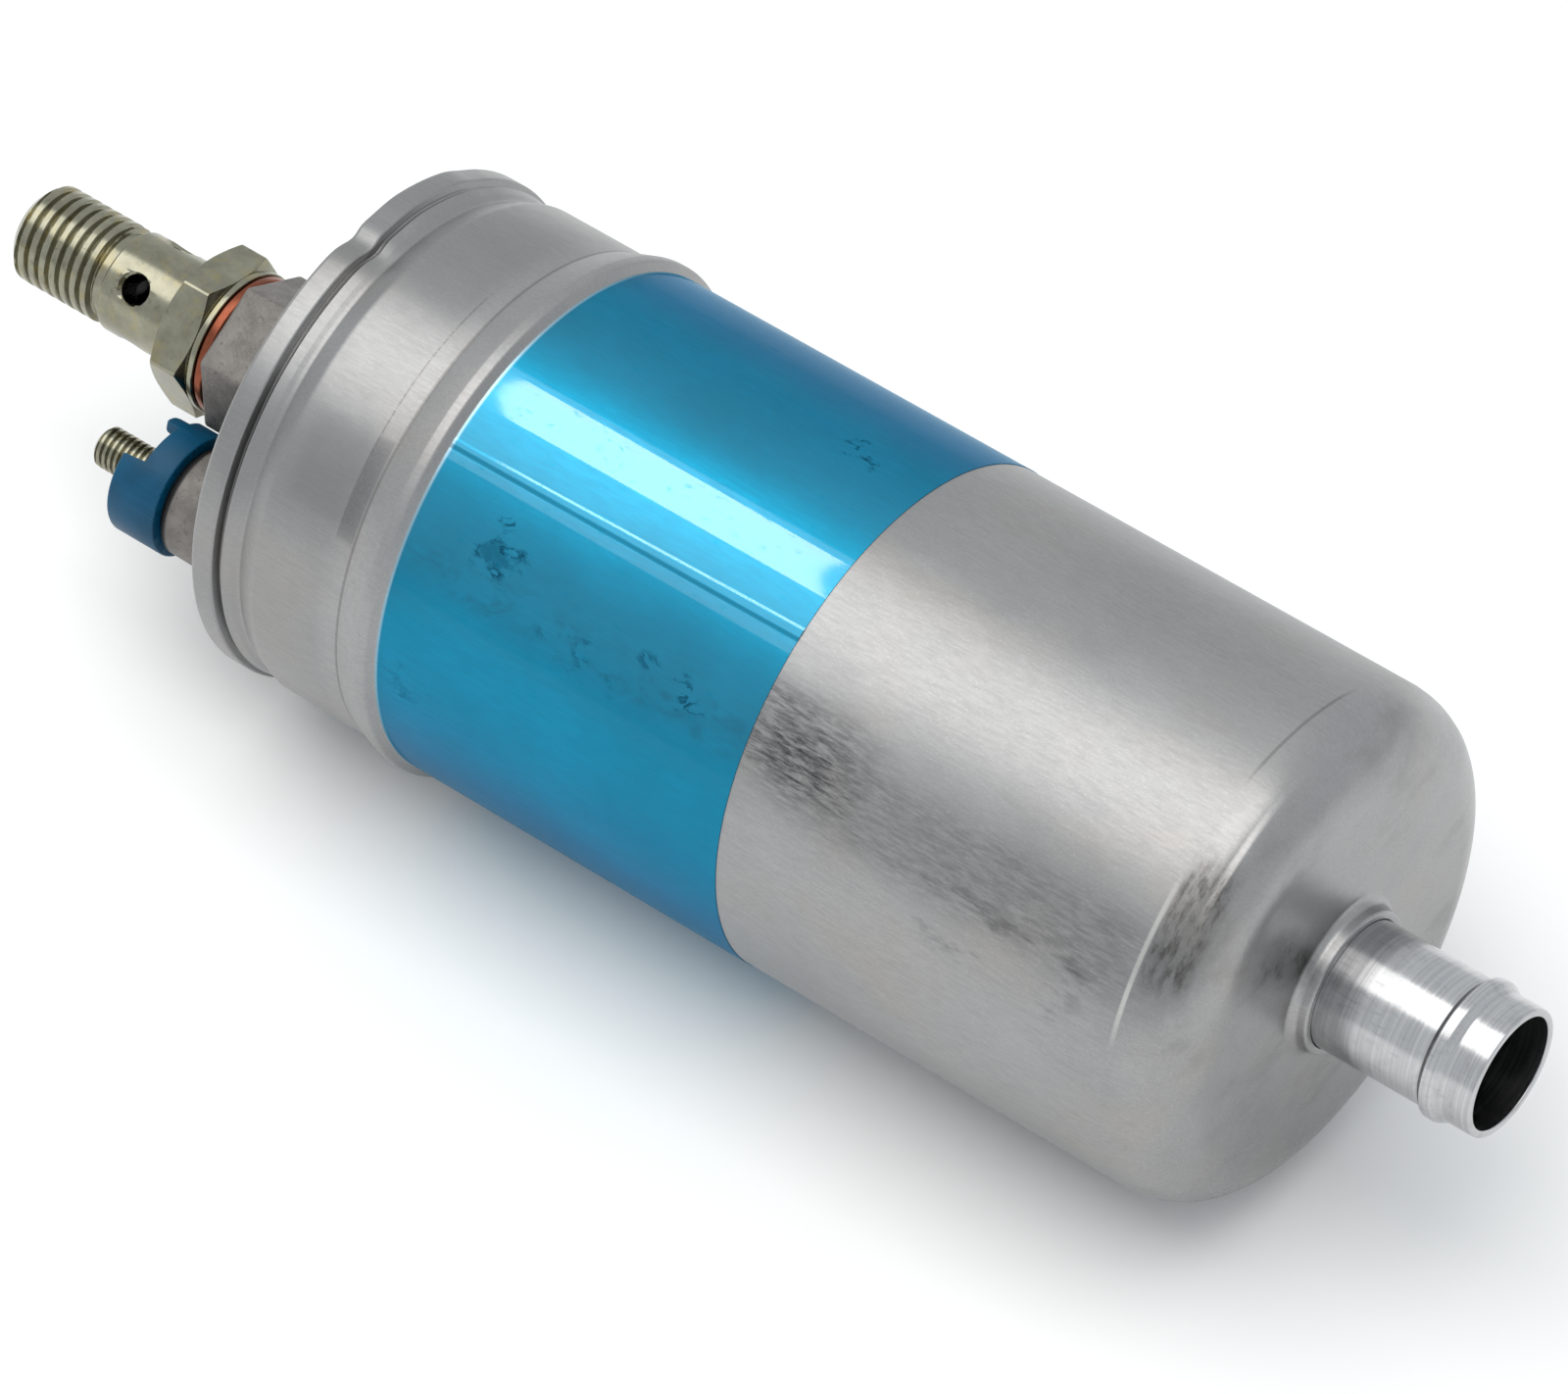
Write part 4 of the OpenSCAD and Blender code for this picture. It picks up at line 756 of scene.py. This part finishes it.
def can_profile(radius, wall, shoulder, rim):
    """Corners of the can's section, out along its outside from the lip to the collar and back inside."""
    x_lip, x_collar, bead = CAN_LOW[0], CAN_HIGH[0], CAN_HIGH[2]
    x_face = WALL_END + shoulder
    waist = radius - 0.1
    rolled_rim = [
        (x_lip, rim - 2.4, 0.45), (x_lip, rim, 0.6), (x_lip + 2.9, rim, 0.4),
        (x_lip + 3.2, waist - 0.95, 0.15), (x_lip + 3.42, waist - 0.95, 0.12),
    ]
    neck = [
        (x_lip + 3.8, waist - 0.25, 0.2), (x_lip + 4.9, waist - 0.6, 0.5), (x_lip + 5.7, waist - 1.05, 0.8),
        (x_lip + 8.3, waist, 2.2),
    ]
    beaded_wall = [
        (WALL_START - 5.4, waist, 0.5), (WALL_START - 1.9, bead, 0.9), (WALL_START - 0.8, bead, 0.6),
        (WALL_START, radius, 0.5), (x_face, radius, shoulder),
    ]
    collar = [
        (x_face + 0.6, CAN_BORE + 1.1, 2.6), (x_collar, CAN_BORE + 0.85, 0.35), (x_collar, CAN_BORE, 0.12),
    ]
    inside = [
        (x_face - wall + 0.6, CAN_BORE, 0.1), (x_face - wall, radius - wall, shoulder - wall),
        (WALL_START, radius - wall, 0.5), (WALL_START - 1.4, bead - wall, 0.6),
        (WALL_START - 5.3, waist - wall, 0.5), (x_lip + 8.1, waist - wall, 1.5),
        (x_lip + 5.2, waist - 1.0 - wall, 0.6), (x_lip + 3.5, waist - 1.2 - wall, 0.3),
        (x_lip + 2.7, rim - wall, 0.4), (x_lip + wall, rim - wall, 0.2), (x_lip + wall, rim - 2.4, 0.4),
    ]
    return rolled_rim + neck + beaded_wall + collar + inside


class PUMP_OT_add_can(bpy.types.Operator):
    """Draws the can: bead, waist, rolled groove and dented rim, shoulder, domed face and collar"""

    bl_idname = "pump.add_can"
    bl_label = "Add Can"

    def execute(self, context):
        can = context.scene.pump_can
        radius, dent = mm(can.radius), mm(can.dent)
        profile = can_profile(radius, mm(can.wall), mm(can.shoulder), radius + mm(can.rim_rise))
        x, r, _, a = wheel(rounded(profile, 3.2, arc_length=0.4), 288)
        degrees = np.degrees(a)
        outside = r > radius - 1.1
        # The rolled rim is dented beside a swelling.
        at_rim = 1 - smooth(CAN_LOW[0] + 2.2, CAN_LOW[0] + 7.5, x)
        swell = 0.28 * smooth(58, 66, degrees) * (1 - smooth(80, 88, degrees))
        r = r + at_rim * (swell - dent * bell(degrees, 95.5, 3.6) - 0.2 * dent * bell(degrees, 89, 3))
        # The groove behind the rim closes on the upper side.
        closing = (1 - smooth(112, 140, degrees)) * smooth(30, 50, degrees)
        r = r + outside * 0.5 * closing * bell(x, CAN_LOW[0] + 3.31, 0.22)
        x = x + at_rim * 0.25 * bell(degrees, 94.5, 2.4)
        # The wall steps in a little where the shoulder starts, and a fine line runs round the waist.
        knuckle = smooth(100, 122, degrees) * (1 - smooth(196, 215, degrees)) + 0.35
        r = r - outside * 0.14 * knuckle * smooth(WALL_END + 0.2, WALL_END + 0.75, x)
        r = r - outside * 0.035 * bell(x, WALL_START - 5.5, 0.2)
        made = add_grid("can_shell", about(x, r, a))
        dress(made, "can_aluminium", "housing_can")
        return {"FINISHED"}


class PUMP_OT_add_label(bpy.types.Operator):
    """Wraps the film label round the can: a thin closed sheet whose end laps over its start"""

    bl_idname = "pump.add_label"
    bl_label = "Add Label"

    def execute(self, context):
        label = context.scene.pump_label
        inner, outer = mm(context.scene.pump_can.radius) + 0.004, LABEL_HIGH[1]
        low, high = LABEL_LOW[0], LABEL_HIGH[0]
        film = rounded([(low, inner, 0), (low, outer, 0, 1), (high, outer, 0, 1), (high, inner, 0)], 3.0)
        # Points along the film, from 0 at its start to 1 at its end, closer at the lap.
        t = [np.linspace(0, 0.02, 24), np.linspace(0.024, 0.966, 240), np.linspace(0.97, 1, 60)]
        t = np.concatenate(t)
        level = np.repeat(film[:, 2:3], len(t), axis=1)
        x, t = np.meshgrid(film[:, 0], t, indexing="ij")
        along = (x - low) / (high - low)
        turn = t * (2 * np.pi + label.lap + label.skew * along * 0.5)
        a = label.seam - label.skew * along + turn
        # The end rises by the film's thickness over the start, and both thin out.
        over = smooth(2 * np.pi - 0.012, 2 * np.pi - 0.002, turn)
        taper = smooth(0, 0.006, t) * (1 - smooth(0.997, 1, t))
        r = inner + over * (outer - inner + 0.004) + level * (outer - inner) * taper
        points = about(x, r, a)
        # The start's corner stands out past the label's edge.
        points[..., 0] -= (np.abs(along) < 0.001) * 0.5 * bell(t, 0.004, 0.004)
        made = add_grid("label_sheet", points, wrap_columns=False, fill=True)
        dress(made, "label_film", "label_band")
        return {"FINISHED"}


class PUMP_OT_add_nipple(bpy.types.Operator):
    """Turns the inlet's hose nipple: flange, tube, hose bead and rounded mouth"""

    bl_idname = "pump.add_nipple"
    bl_label = "Add Nipple"

    def execute(self, context):
        nipple = context.scene.pump_nipple
        tube = mm(nipple.radius)
        bore, crest = tube - mm(nipple.wall), tube + mm(nipple.bead)
        x_flange, x_mouth, flange = NIPPLE_LOW[0], NIPPLE_HIGH[0], NIPPLE_HIGH[1]
        x_tube, x_bead = x_flange + 1.5, x_mouth - 5.3
        made = turned("hose_nipple", [
            (x_flange, bore, 0.1), (x_flange, flange, 0.3), (x_tube, flange, 0.2), (x_tube, tube, 0.1),
            (x_bead - 1.1, tube, 0.3), (x_bead - 0.65, crest - 0.03, 0.4), (x_bead + 0.5, crest, 0.8),
            (x_bead + 1.7, tube, 1), (x_mouth - 1.2, tube + 0.02, 0.5), (x_mouth, tube - 0.03, 0.25),
            (x_mouth, bore, 0.2),
        ], 0.8, 192)
        dress(made, "nipple_aluminium", "inlet_nipple")
        return {"FINISHED"}


class PUMP_OT_add_cover(bpy.types.Operator):
    """Casts the end cover: ribbed recess, hexagonal outlet boss with a flared root, two terminal bosses"""

    bl_idname = "pump.add_cover"
    bl_label = "Add Cover"

    def execute(self, context):
        can, cover, terminal = context.scene.pump_can, context.scene.pump_cover, context.scene.pump_terminal
        flats, passage, tapped = mm(cover.flats), 3.2, 5.6
        flat = flats / 2
        rim = mm(can.radius) + mm(can.rim_rise)
        edge, side = rim - 1.3, rim - 2.8
        x_lip, x_front = CAN_LOW[0], CAN_LOW[0] + mm(can.wall)
        x_back, x_boss = span("end_cover")[1][0], WASHER_HIGH[0]
        x_floor, x_cavity, x_tapped = x_front + mm(cover.recess), x_back - 5, x_boss + 12.6
        x_seal, seal = (SEAL_LOW[0] + SEAL_HIGH[0]) / 2, 1.6
        inside = [
            (x_cavity, passage, 0.1), (x_cavity, side - 4.9, 0.6), (x_back, side - 4.9, 0.3),
            (x_back, side, 0.3),
        ]
        seal_groove = [
            (x_seal + seal, side, 0.15), (x_seal + seal, side - 1.5, 0.2), (x_seal - seal, side - 1.5, 0.2),
            (x_seal - seal, side, 0.15),
        ]
        face = [
            (x_front + 1.3, side, 0.1), (x_front + 1, edge, 0.2), (x_front, edge, 0.3),
            (x_front, side - 2.6, 0.7), (x_floor, side - 3.1, 1.2), (x_floor, flat + 3.6, 1.6),
        ]
        outlet_boss = [
            (x_front - 0.6, flat + 2.2, 1.6), (x_lip - 4.6, flat + 0.5, 3, 0.55), (x_lip - 7.4, flat, 2, 1),
            (x_boss, flat, 0.5, 1), (x_boss, tapped, 0.3), (x_tapped, tapped, 0.2), (x_tapped, passage, 0.2),
        ]
        path = rounded(inside + seal_groove + face + outlet_boss, 1.2, arc_step=15)
        x, r, weight, a = wheel(path, 336)
        r = r + weight * (hexagon(a, flats, cover.turn, 55) - flat)
        # Six ribs stand on the recess's floor: spoke is a point's distance from the nearest rib's middle.
        spoke = np.abs(np.sin(3 * (a - math.radians(26)))) / 3 * r
        on_floor = smooth(flat + 1.2, flat + 2.4, r) * (1 - smooth(side - 3.4, side - 2.6, r))
        on_floor = on_floor * ((x > x_front - 1) & (x < x_floor + 0.5))
        rib = (1 - smooth(mm(cover.rib) * 0.8, mm(cover.rib) * 1.5, spoke)) * on_floor
        x = x - rib * np.maximum(x - x_front - 0.3, 0)
        made = add_grid("cast_cover", about(x, r, a))
        for angle, stud in ((TERMINAL_A, terminal.stud_a), (TERMINAL_B, terminal.stud_b)):
            self.add_boss(made, terminal_centre(angle), mm(stud), x_floor, x_cavity)
        dress(made, "cast_aluminium", "end_cover", sharp=40)
        return {"FINISHED"}

    def add_boss(self, cover, centre, stud, x_floor, x_cavity):
        """Joins a terminal boss to the cover and drills its bore, wider at the face for the insulator."""
        x_root, x_step, x_seat = x_floor + 1.2, TERMINAL_FACE + 3, TERMINAL_FACE + 2.41
        boss = turned("boss", [
            (x_root, 0, 0), (x_root, 8.4, 0), (x_floor + 0.2, 8.4, 0.2), (x_floor - 0.6, 6.8, 1.4),
            (x_step, 6.6, 0.4), (x_step, 5.8, 0.2), (TERMINAL_FACE, 5.8, 0.4), (TERMINAL_FACE, 0, 0),
        ], 1.0, 120, closed=False, centre=centre)
        combine(cover, boss, "UNION")
        bore, seat, past = stud + 1.25, stud + 2.41, 0.6
        drill = turned("drill", [
            (x_cavity + past, 0, 0), (x_cavity + past, bore, 0), (x_seat, bore, 0), (x_seat, seat, 0),
            (TERMINAL_FACE - past, seat, 0), (TERMINAL_FACE - past, 0, 0),
        ], 2.0, 96, closed=False, centre=centre)
        combine(cover, drill, "DIFFERENCE")


class PUMP_OT_add_washer(bpy.types.Operator):
    """Turns the copper sealing washer, squeezed a little round at its edge"""

    bl_idname = "pump.add_washer"
    bl_label = "Add Washer"

    def execute(self, context):
        low, high, rim, hole = WASHER_LOW[0], WASHER_HIGH[0], WASHER_HIGH[1], 6.1
        made = turned("sealing_washer", [
            (low, hole, 0.15), (low, rim - 0.05, 0.4), ((low + high) / 2, rim, 0.5), (high, rim - 0.05, 0.4),
            (high, hole, 0.15),
        ], 0.5, 160)
        dress(made, "copper", "copper_washer")
        return {"FINISHED"}


class PUMP_OT_add_valve(bpy.types.Operator):
    """Machines the outlet valve: shank, collar, hexagon, banjo seat, neck, thread and cross holes"""

    bl_idname = "pump.add_valve"
    bl_label = "Add Valve"

    def execute(self, context):
        valve = context.scene.pump_valve
        flats, seat, crest, pitch = mm(valve.flats), mm(valve.seat), mm(valve.thread), mm(valve.pitch)
        flat, corner = flats / 2, hexagon_corner(flats)
        neck, shank, bore, chamber, chamfer, banjo = crest - 0.75, 5.5, 2.4, 4.2, 1.3, 10.4
        x_tip, x_shank, x_washer = VALVE_LOW[0], VALVE_HIGH[0], WASHER_LOW[0]
        x_chamber = span("valve_spring")[0][0] - 0.09
        x_hex1, x_hex0 = x_washer - 0.9, x_washer - 5.9
        x_banjo = x_hex0 - banjo
        x_hole, x_neck = x_banjo + 0.42 * banjo, x_banjo - 1.1
        inside = [
            (x_hole - 2.5, 0, 0), (x_hole - 2.5, bore, 0.3), (x_chamber, bore, 0.2),
            (x_chamber, chamber, 0.2),
        ]
        stem = [
            (x_shank, chamber, 0.1), (x_shank, shank - 0.5, 0.1), (x_shank - 0.5, shank, 0.1),
            (x_washer, shank, 0.1), (x_washer, flat + 0.1, 0.2), (x_hex1 + 0.05, flat + 0.1, 0.25),
            (x_hex1 + 0.02, flat - 0.45, 0.1),
        ]
        hexagon_body = [
            (x_hex1, flat - 0.1, 0.08, 1), (x_hex1 - 0.75, corner + 0.03, 0.15, 1),
            (x_hex0 + 0.95, corner + 0.03, 0.15, 1), (x_hex0, flat - 0.35, 0.15, 1),
        ]
        banjo_end = [
            (x_hex0, seat, 0.35), (x_banjo + 0.5, seat, 0.25), (x_banjo, neck, 0.2),
            (x_neck + 0.1, neck, 0.15), (x_neck - 0.3, crest, 0.1), (x_tip + chamfer, crest, 0.5),
            (x_tip, crest - chamfer - 0.1, 0.45), (x_tip, 0, 0),
        ]
        path = rounded(inside + stem + hexagon_body + banjo_end, 1.5, closed=False, arc_step=12,
            fine=((x_tip, x_neck + 0.2, 0.09), (x_hex0, x_hex1, 0.14)))
        x, r, weight, a = wheel(path, 216)
        r = np.where(weight > 0.5, np.minimum(r, hexagon(a, flats, valve.turn, 120)), r)
        outside = r > chamber + 0.1
        r = np.where(outside, thread(r, x, a, crest, 0.7, x_tip - 1, x_neck + 0.25, pitch), r)
        made = add_grid("outlet_valve", about(x, r, a), wrap_rows=False)
        for turn in (0, math.pi / 2):
            self.drill(made, x_hole, seat, mm(valve.hole), valve.hole_angle + turn)
        dress(made, "plated_steel", "valve_body", sharp=62)
        return {"FINISHED"}

    def drill(self, valve, x_hole, seat, hole, angle):
        """Drills a cross hole, countersunk where it meets the seat."""
        sink, lip, end = hole + 0.42, seat - 0.18, seat + 1
        drill = turned("drill", [
            (-end, 0, 0), (-end, sink + 0.6, 0), (-lip, sink - 0.1, 0), (-lip + 0.35, hole, 0.2),
            (lip - 0.35, hole, 0.2), (lip, sink - 0.1, 0), (end, sink + 0.6, 0), (end, 0, 0),
        ], 1.5, 64, closed=False)
        across = Matrix.Rotation(angle, 4, "X") @ Matrix.Rotation(math.pi / 2, 4, "Z")
        drill.data.transform(Matrix.Translation((x_hole * MM, 0, 0)) @ across)
        combine(valve, drill, "DIFFERENCE")


class PUMP_OT_add_studs(bpy.types.Operator):
    """Turns the two terminal studs: head, shank and rolled thread with a chamfered tip"""

    bl_idname = "pump.add_studs"
    bl_label = "Add Studs"

    def execute(self, context):
        terminal = context.scene.pump_terminal
        self.add_stud("stud_a", "terminal_stud_a", TERMINAL_A, mm(terminal.stud_a), 0.8)
        self.add_stud("stud_b", "terminal_stud_b", TERMINAL_B, mm(terminal.stud_b), 0.7)
        return {"FINISHED"}

    def add_stud(self, name, node, angle, crest, pitch):
        """Turns a stud on a terminal's axis, with a thread of a pitch outside the boss."""
        low, high = span(node)
        x_tip, x_head = low[0], high[0]
        head, shank = crest + 1.6, crest - 0.35
        path = rounded([
            (x_head, 0, 0), (x_head, head, 0.3), (x_head - 2.2, head, 0.2), (x_head - 2.2, shank, 0.1),
            (TERMINAL_FACE + 0.05, shank, 0.05), (TERMINAL_FACE - 0.25, crest, 0.1),
            (x_tip + 0.55, crest, 0.25), (x_tip, crest - 0.6, 0.2), (x_tip, 0, 0),
        ], 0.075, closed=False)
        x, r, _, a = wheel(path, 72)
        outside = (r > shank - 0.6) & (r < crest + 0.01)
        r = np.where(outside, thread(r, x, a, crest, 0.42, x_tip - 1, TERMINAL_FACE, pitch), r)
        made = add_grid(name, about(x, r, a, terminal_centre(angle)), wrap_rows=False)
        dress(made, "plated_steel", node, sharp=65)


class PUMP_OT_add_shroud(bpy.types.Operator):
    """Moulds the terminal shroud: a floor, a wall whose height steps with the angle, and a finger"""

    bl_idname = "pump.add_shroud"
    bl_label = "Add Shroud"

    def height(self, degrees, tall, low, floor):
        """Wall height at an angle: low from 30, a finger at 69, tall from 122 to 300, else the floor's."""
        wall = floor + (low - floor) * smooth(29, 32, degrees) + (tall - low) * smooth(121, 124, degrees)
        wall = wall - (tall - floor) * smooth(298, 301, degrees)
        return wall + 1.8 * np.clip(1 - (np.abs(degrees - 69) / 7) ** 4, 0, 1) ** 0.25

    def execute(self, context):
        terminal = context.scene.pump_terminal
        outer, wall = mm(terminal.shroud), mm(terminal.shroud_wall)
        x_base, tall = SHROUD_HIGH[0], SHROUD_HIGH[0] - SHROUD_LOW[0]
        low, floor, hole, inner, soft = 3.7, 1.2, 5.86, outer - wall, 0.32
        # The section's points: radius, level, and 1 where the level counts from the wall's top.
        bend = np.linspace(0, math.pi / 2, 5)
        section = [(hole, floor, 0), (hole, 0, 0), (outer - 0.15, 0, 0), (outer, 0.15, 0)]
        section += [(outer - soft + soft * math.cos(b), -soft + soft * math.sin(b), 1) for b in bend]
        section += [(inner + soft - soft * math.sin(b), -soft + soft * math.cos(b), 1) for b in bend]
        section += [(inner, floor + 0.02, 0), (inner - 0.02, floor, 0)]
        radius, level, top, a = wheel(np.array(section), 720)
        height = self.height(np.degrees(a), tall, low, floor)
        rise = np.where(top > 0, np.maximum(height + level, floor * 0.98 + level * 0.02), level)
        # The wall is cut back to clear the circle round the outlet boss: toward is how far the axis lies
        # along a ray from the terminal, and limit is where the ray meets that circle.
        centre = terminal_centre(TERMINAL_A)
        toward = centre[0] * np.cos(a) + centre[1] * np.sin(a)
        boss = hexagon_corner(mm(context.scene.pump_cover.flats)) + 0.1
        reach = toward ** 2 - TERMINAL_OFFSET ** 2 + boss ** 2
        limit = np.where((reach > 0) & (toward < 0), -toward - np.sqrt(np.maximum(reach, 0)), outer)
        radius = np.minimum(radius, np.maximum(limit, hole + 0.2))
        made = add_grid("shroud_collar", about(x_base - rise, radius, a, centre))
        dress(made, "shroud_plastic", "terminal_shroud", sharp=45)
        return {"FINISHED"}


class PUMP_OT_add_springs(bpy.types.Operator):
    """Winds the four springs with closed end turns"""

    bl_idname = "pump.add_springs"
    bl_label = "Add Springs"

    def execute(self, context):
        self.wind("valve_coil", "valve_spring", 0.6, 6, "check_valve_lift")
        self.wind("brush_coil_a", "brush_spring_a", 0.45, 6, "brush_a_slide")
        self.wind("brush_coil_b", "brush_spring_b", 0.45, 6, "brush_b_slide")
        self.wind("relief_coil", "relief_spring", 0.45, 5, "relief_valve_lift", fixed_high=True)
        return {"FINISHED"}

    def wind(self, name, node, wire, turns, joint, fixed_high=False):
        """A wire of round section along a helix: its centre climbs by about one wire over each end turn and evenly
        between, at the coil's radius."""
        low, high = span(node)
        centre = ((low[1] + high[1]) / 2, (low[2] + high[2]) / 2)
        radius, round_wire = (high[1] - low[1]) / 2 - wire / 2, wire / 2 * 0.98
        t = np.linspace(0, turns, turns * 24 + 1)
        length = high[0] - low[0] - wire
        dead = min(1.04 * wire, length / turns)
        rate = (length - 2 * dead) / (turns - 2)
        climb = dead * (np.minimum(t, 1) + np.clip(t - turns + 1, 0, 1)) + rate * np.clip(t - 1, 0, turns - 2)
        climb, side = np.meshgrid(climb, 2 * np.pi * np.arange(10) / 10, indexing="ij")
        x = low[0] + wire / 2 + climb + round_wire * np.sin(side)
        points = about(x, radius + round_wire * np.cos(side), 2 * np.pi * t[:, None], centre)
        made = add_grid(name, points, wrap_rows=False, fill=True)
        dress(made, "spring_steel", node, sharp=60)
        travel = next(j for j in frame["joints"] if j["name"] == joint)["range_m"][1]
        anchor = (float(high[0] if fixed_high else low[0]) * MM, centre[0] * MM, centre[1] * MM)
        1 - travel / ((high[0] - low[0]) * MM)
        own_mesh(made)


class PUMP_OT_finish_inside(bpy.types.Operator):
    """Gives every CAD node that stays in view its slot's procedural material"""

    bl_idname = "pump.finish_inside"
    bl_label = "Finish Inner Pieces"

    def execute(self, context):
        for part in frame["record"]["subparts"]:
            finish = material_of(part["material_slot"])
            for slot in frame["nodes"][part["node"]].material_slots:
                slot.material = finish
        return {"FINISHED"}


# Stage

class PUMP_OT_set_stage(bpy.types.Operator):
    """Sets the floor, the soft lamps, the pale surroundings and the camera"""

    bl_idname = "pump.set_stage"
    bl_label = "Set Stage"

    def execute(self, context):
        studio = context.scene.pump_studio
        self.add_floor(studio)
        self.add_lamp("softbox", (-0.3, -0.21, 0.8), (1.4, 0.72), (0, 0, 1), studio.softbox)
        # The strip lamp makes the label's streak, and lights only the label.
        place, facing = (-0.2915, -0.012, 0.565), (-0.443, 0.011, 0.896)
        strip = self.add_lamp("strip", place, (0.06, 0.17), facing, studio.strip)
        shows_strip = bpy.data.collections.new("shows_strip")
        shows_strip.objects.link(bpy.data.objects["label_sheet"])
        strip.light_linking.receiver_collection = shows_strip
        self.set_world(studio.world)
        self.add_camera(context, studio)
        context.scene.view_settings.view_transform = "Standard"
        return {"FINISHED"}

    def add_floor(self, studio):
        """A flat round floor that the can's bead rests on: rings of points at growing radii."""
        radii = np.array([0, 60, 120, 250, 500, 1000, 2500.0])[:, None]
        a = 2 * np.pi * np.arange(96) / 96
        rings = np.broadcast_arrays(radii * np.cos(a), radii * np.sin(a), -CAN_HIGH[1])
        made = add_grid("studio_floor", np.stack(rings, axis=-1), wrap_rows=False)
        if made.data.polygons[0].normal.z < 0:
            made.data.flip_normals()
        paint = Finish("floor_paint")
        paint.done(Base_Color=tuple(studio.floor), Roughness=0.9, Specular_IOR_Level=0.0)
        made.data.materials.append(paint.material)

    def add_lamp(self, name, place, size, facing, radiance):
        """An area lamp that shines back along a direction, with a power of its radiance times its area
        times pi."""
        data = bpy.data.lights.new(name, "AREA")
        data.shape = "RECTANGLE"
        data.size, data.size_y = size
        data.energy = radiance * math.pi * size[0] * size[1]
        data.color = (1, 0.978, 0.942)
        lamp = add_object(name, data)
        back = Vector(facing).normalized()
        side = Vector((0, 1, 0)).cross(back).normalized()
        lamp.matrix_world = self.placed(side, back.cross(side), back, place)
        return lamp

    def placed(self, right, up, back, place):
        """A matrix that puts an object's three axes along three directions, at a place."""
        matrix = Matrix((right, up, back)).transposed().to_4x4()
        matrix.translation = Vector(place)
        return matrix

    def set_world(self, strength):
        """Plain pale surroundings of one radiance."""
        world = bpy.data.worlds.new("studio")
        world.use_nodes = True
        background = world.node_tree.nodes["Background"]
        background.inputs["Color"].default_value = (0.935, 0.975, 1, 1)
        background.inputs["Strength"].default_value = strength
        bpy.context.scene.world = world

    def add_camera(self, context, studio):
        """A camera whose back points away from the object, at an azimuth from -Y towards +X and an elevation
        above the floor. Its right and up are then turned about its back by the roll."""
        data = bpy.data.cameras.new("camera")
        data.lens = studio.lens
        data.sensor_fit = "HORIZONTAL"
        data.sensor_width = 36
        data.clip_start, data.clip_end = 0.01, 50
        camera = add_object("camera", data)
        sin_a, cos_a = math.sin(studio.azimuth), math.cos(studio.azimuth)
        sin_e, cos_e = math.sin(studio.elevation), math.cos(studio.elevation)
        back = Vector((sin_a * cos_e, -cos_a * cos_e, sin_e))
        right = Vector((cos_a, sin_a, 0))
        up = back.cross(right)
        sin_r, cos_r = math.sin(studio.roll), math.cos(studio.roll)
        right, up = right * cos_r + up * sin_r, up * cos_r - right * sin_r
        camera.matrix_world = self.placed(right, up, back, studio.place)
        context.scene.camera = camera


# Add-on

OPERATORS = (
    PUMP_OT_add_can, PUMP_OT_add_label, PUMP_OT_add_nipple, PUMP_OT_add_cover, PUMP_OT_add_washer,
    PUMP_OT_add_valve, PUMP_OT_add_studs, PUMP_OT_add_shroud, PUMP_OT_add_springs, PUMP_OT_finish_inside,
    PUMP_OT_set_stage,
)
SETTINGS = {
    "pump_can": CanSettings,
    "pump_label": LabelSettings,
    "pump_nipple": NippleSettings,
    "pump_cover": CoverSettings,
    "pump_valve": ValveSettings,
    "pump_terminal": TerminalSettings,
    "pump_finish": FinishSettings,
    "pump_studio": StudioSettings,
}


class PUMP_PT_sidebar(bpy.types.Panel):
    """Lists the pump's pieces and their settings."""

    bl_idname = "PUMP_PT_sidebar"
    bl_label = "Fuel Pump"
    bl_space_type = "VIEW_3D"
    bl_region_type = "UI"
    bl_category = "Fuel Pump"

    def draw(self, context):
        for operator in OPERATORS:
            self.layout.operator(operator.bl_idname)
        for name, group in SETTINGS.items():
            box = self.layout.box()
            box.label(text=group.__doc__.rstrip("."))
            for prop in group.__annotations__:
                box.prop(getattr(context.scene, name), prop)


CLASSES = (*SETTINGS.values(), *OPERATORS, PUMP_PT_sidebar)


def register():
    for made in CLASSES:
        bpy.utils.register_class(made)
    for name, group in SETTINGS.items():
        setattr(bpy.types.Scene, name, PointerProperty(type=group))


def unregister():
    for name in SETTINGS:
        delattr(bpy.types.Scene, name)
    for made in reversed(CLASSES):
        bpy.utils.unregister_class(made)


def main():
    register()
    bpy.ops.pump.add_can()
    bpy.ops.pump.add_label()
    bpy.ops.pump.add_nipple()
    bpy.ops.pump.add_cover()
    bpy.ops.pump.add_washer()
    bpy.ops.pump.add_valve()
    bpy.ops.pump.add_studs()
    bpy.ops.pump.add_shroud()
    bpy.ops.pump.add_springs()
    bpy.ops.pump.finish_inside()
    bpy.ops.pump.set_stage()


if __name__ == "__main__":
    main()
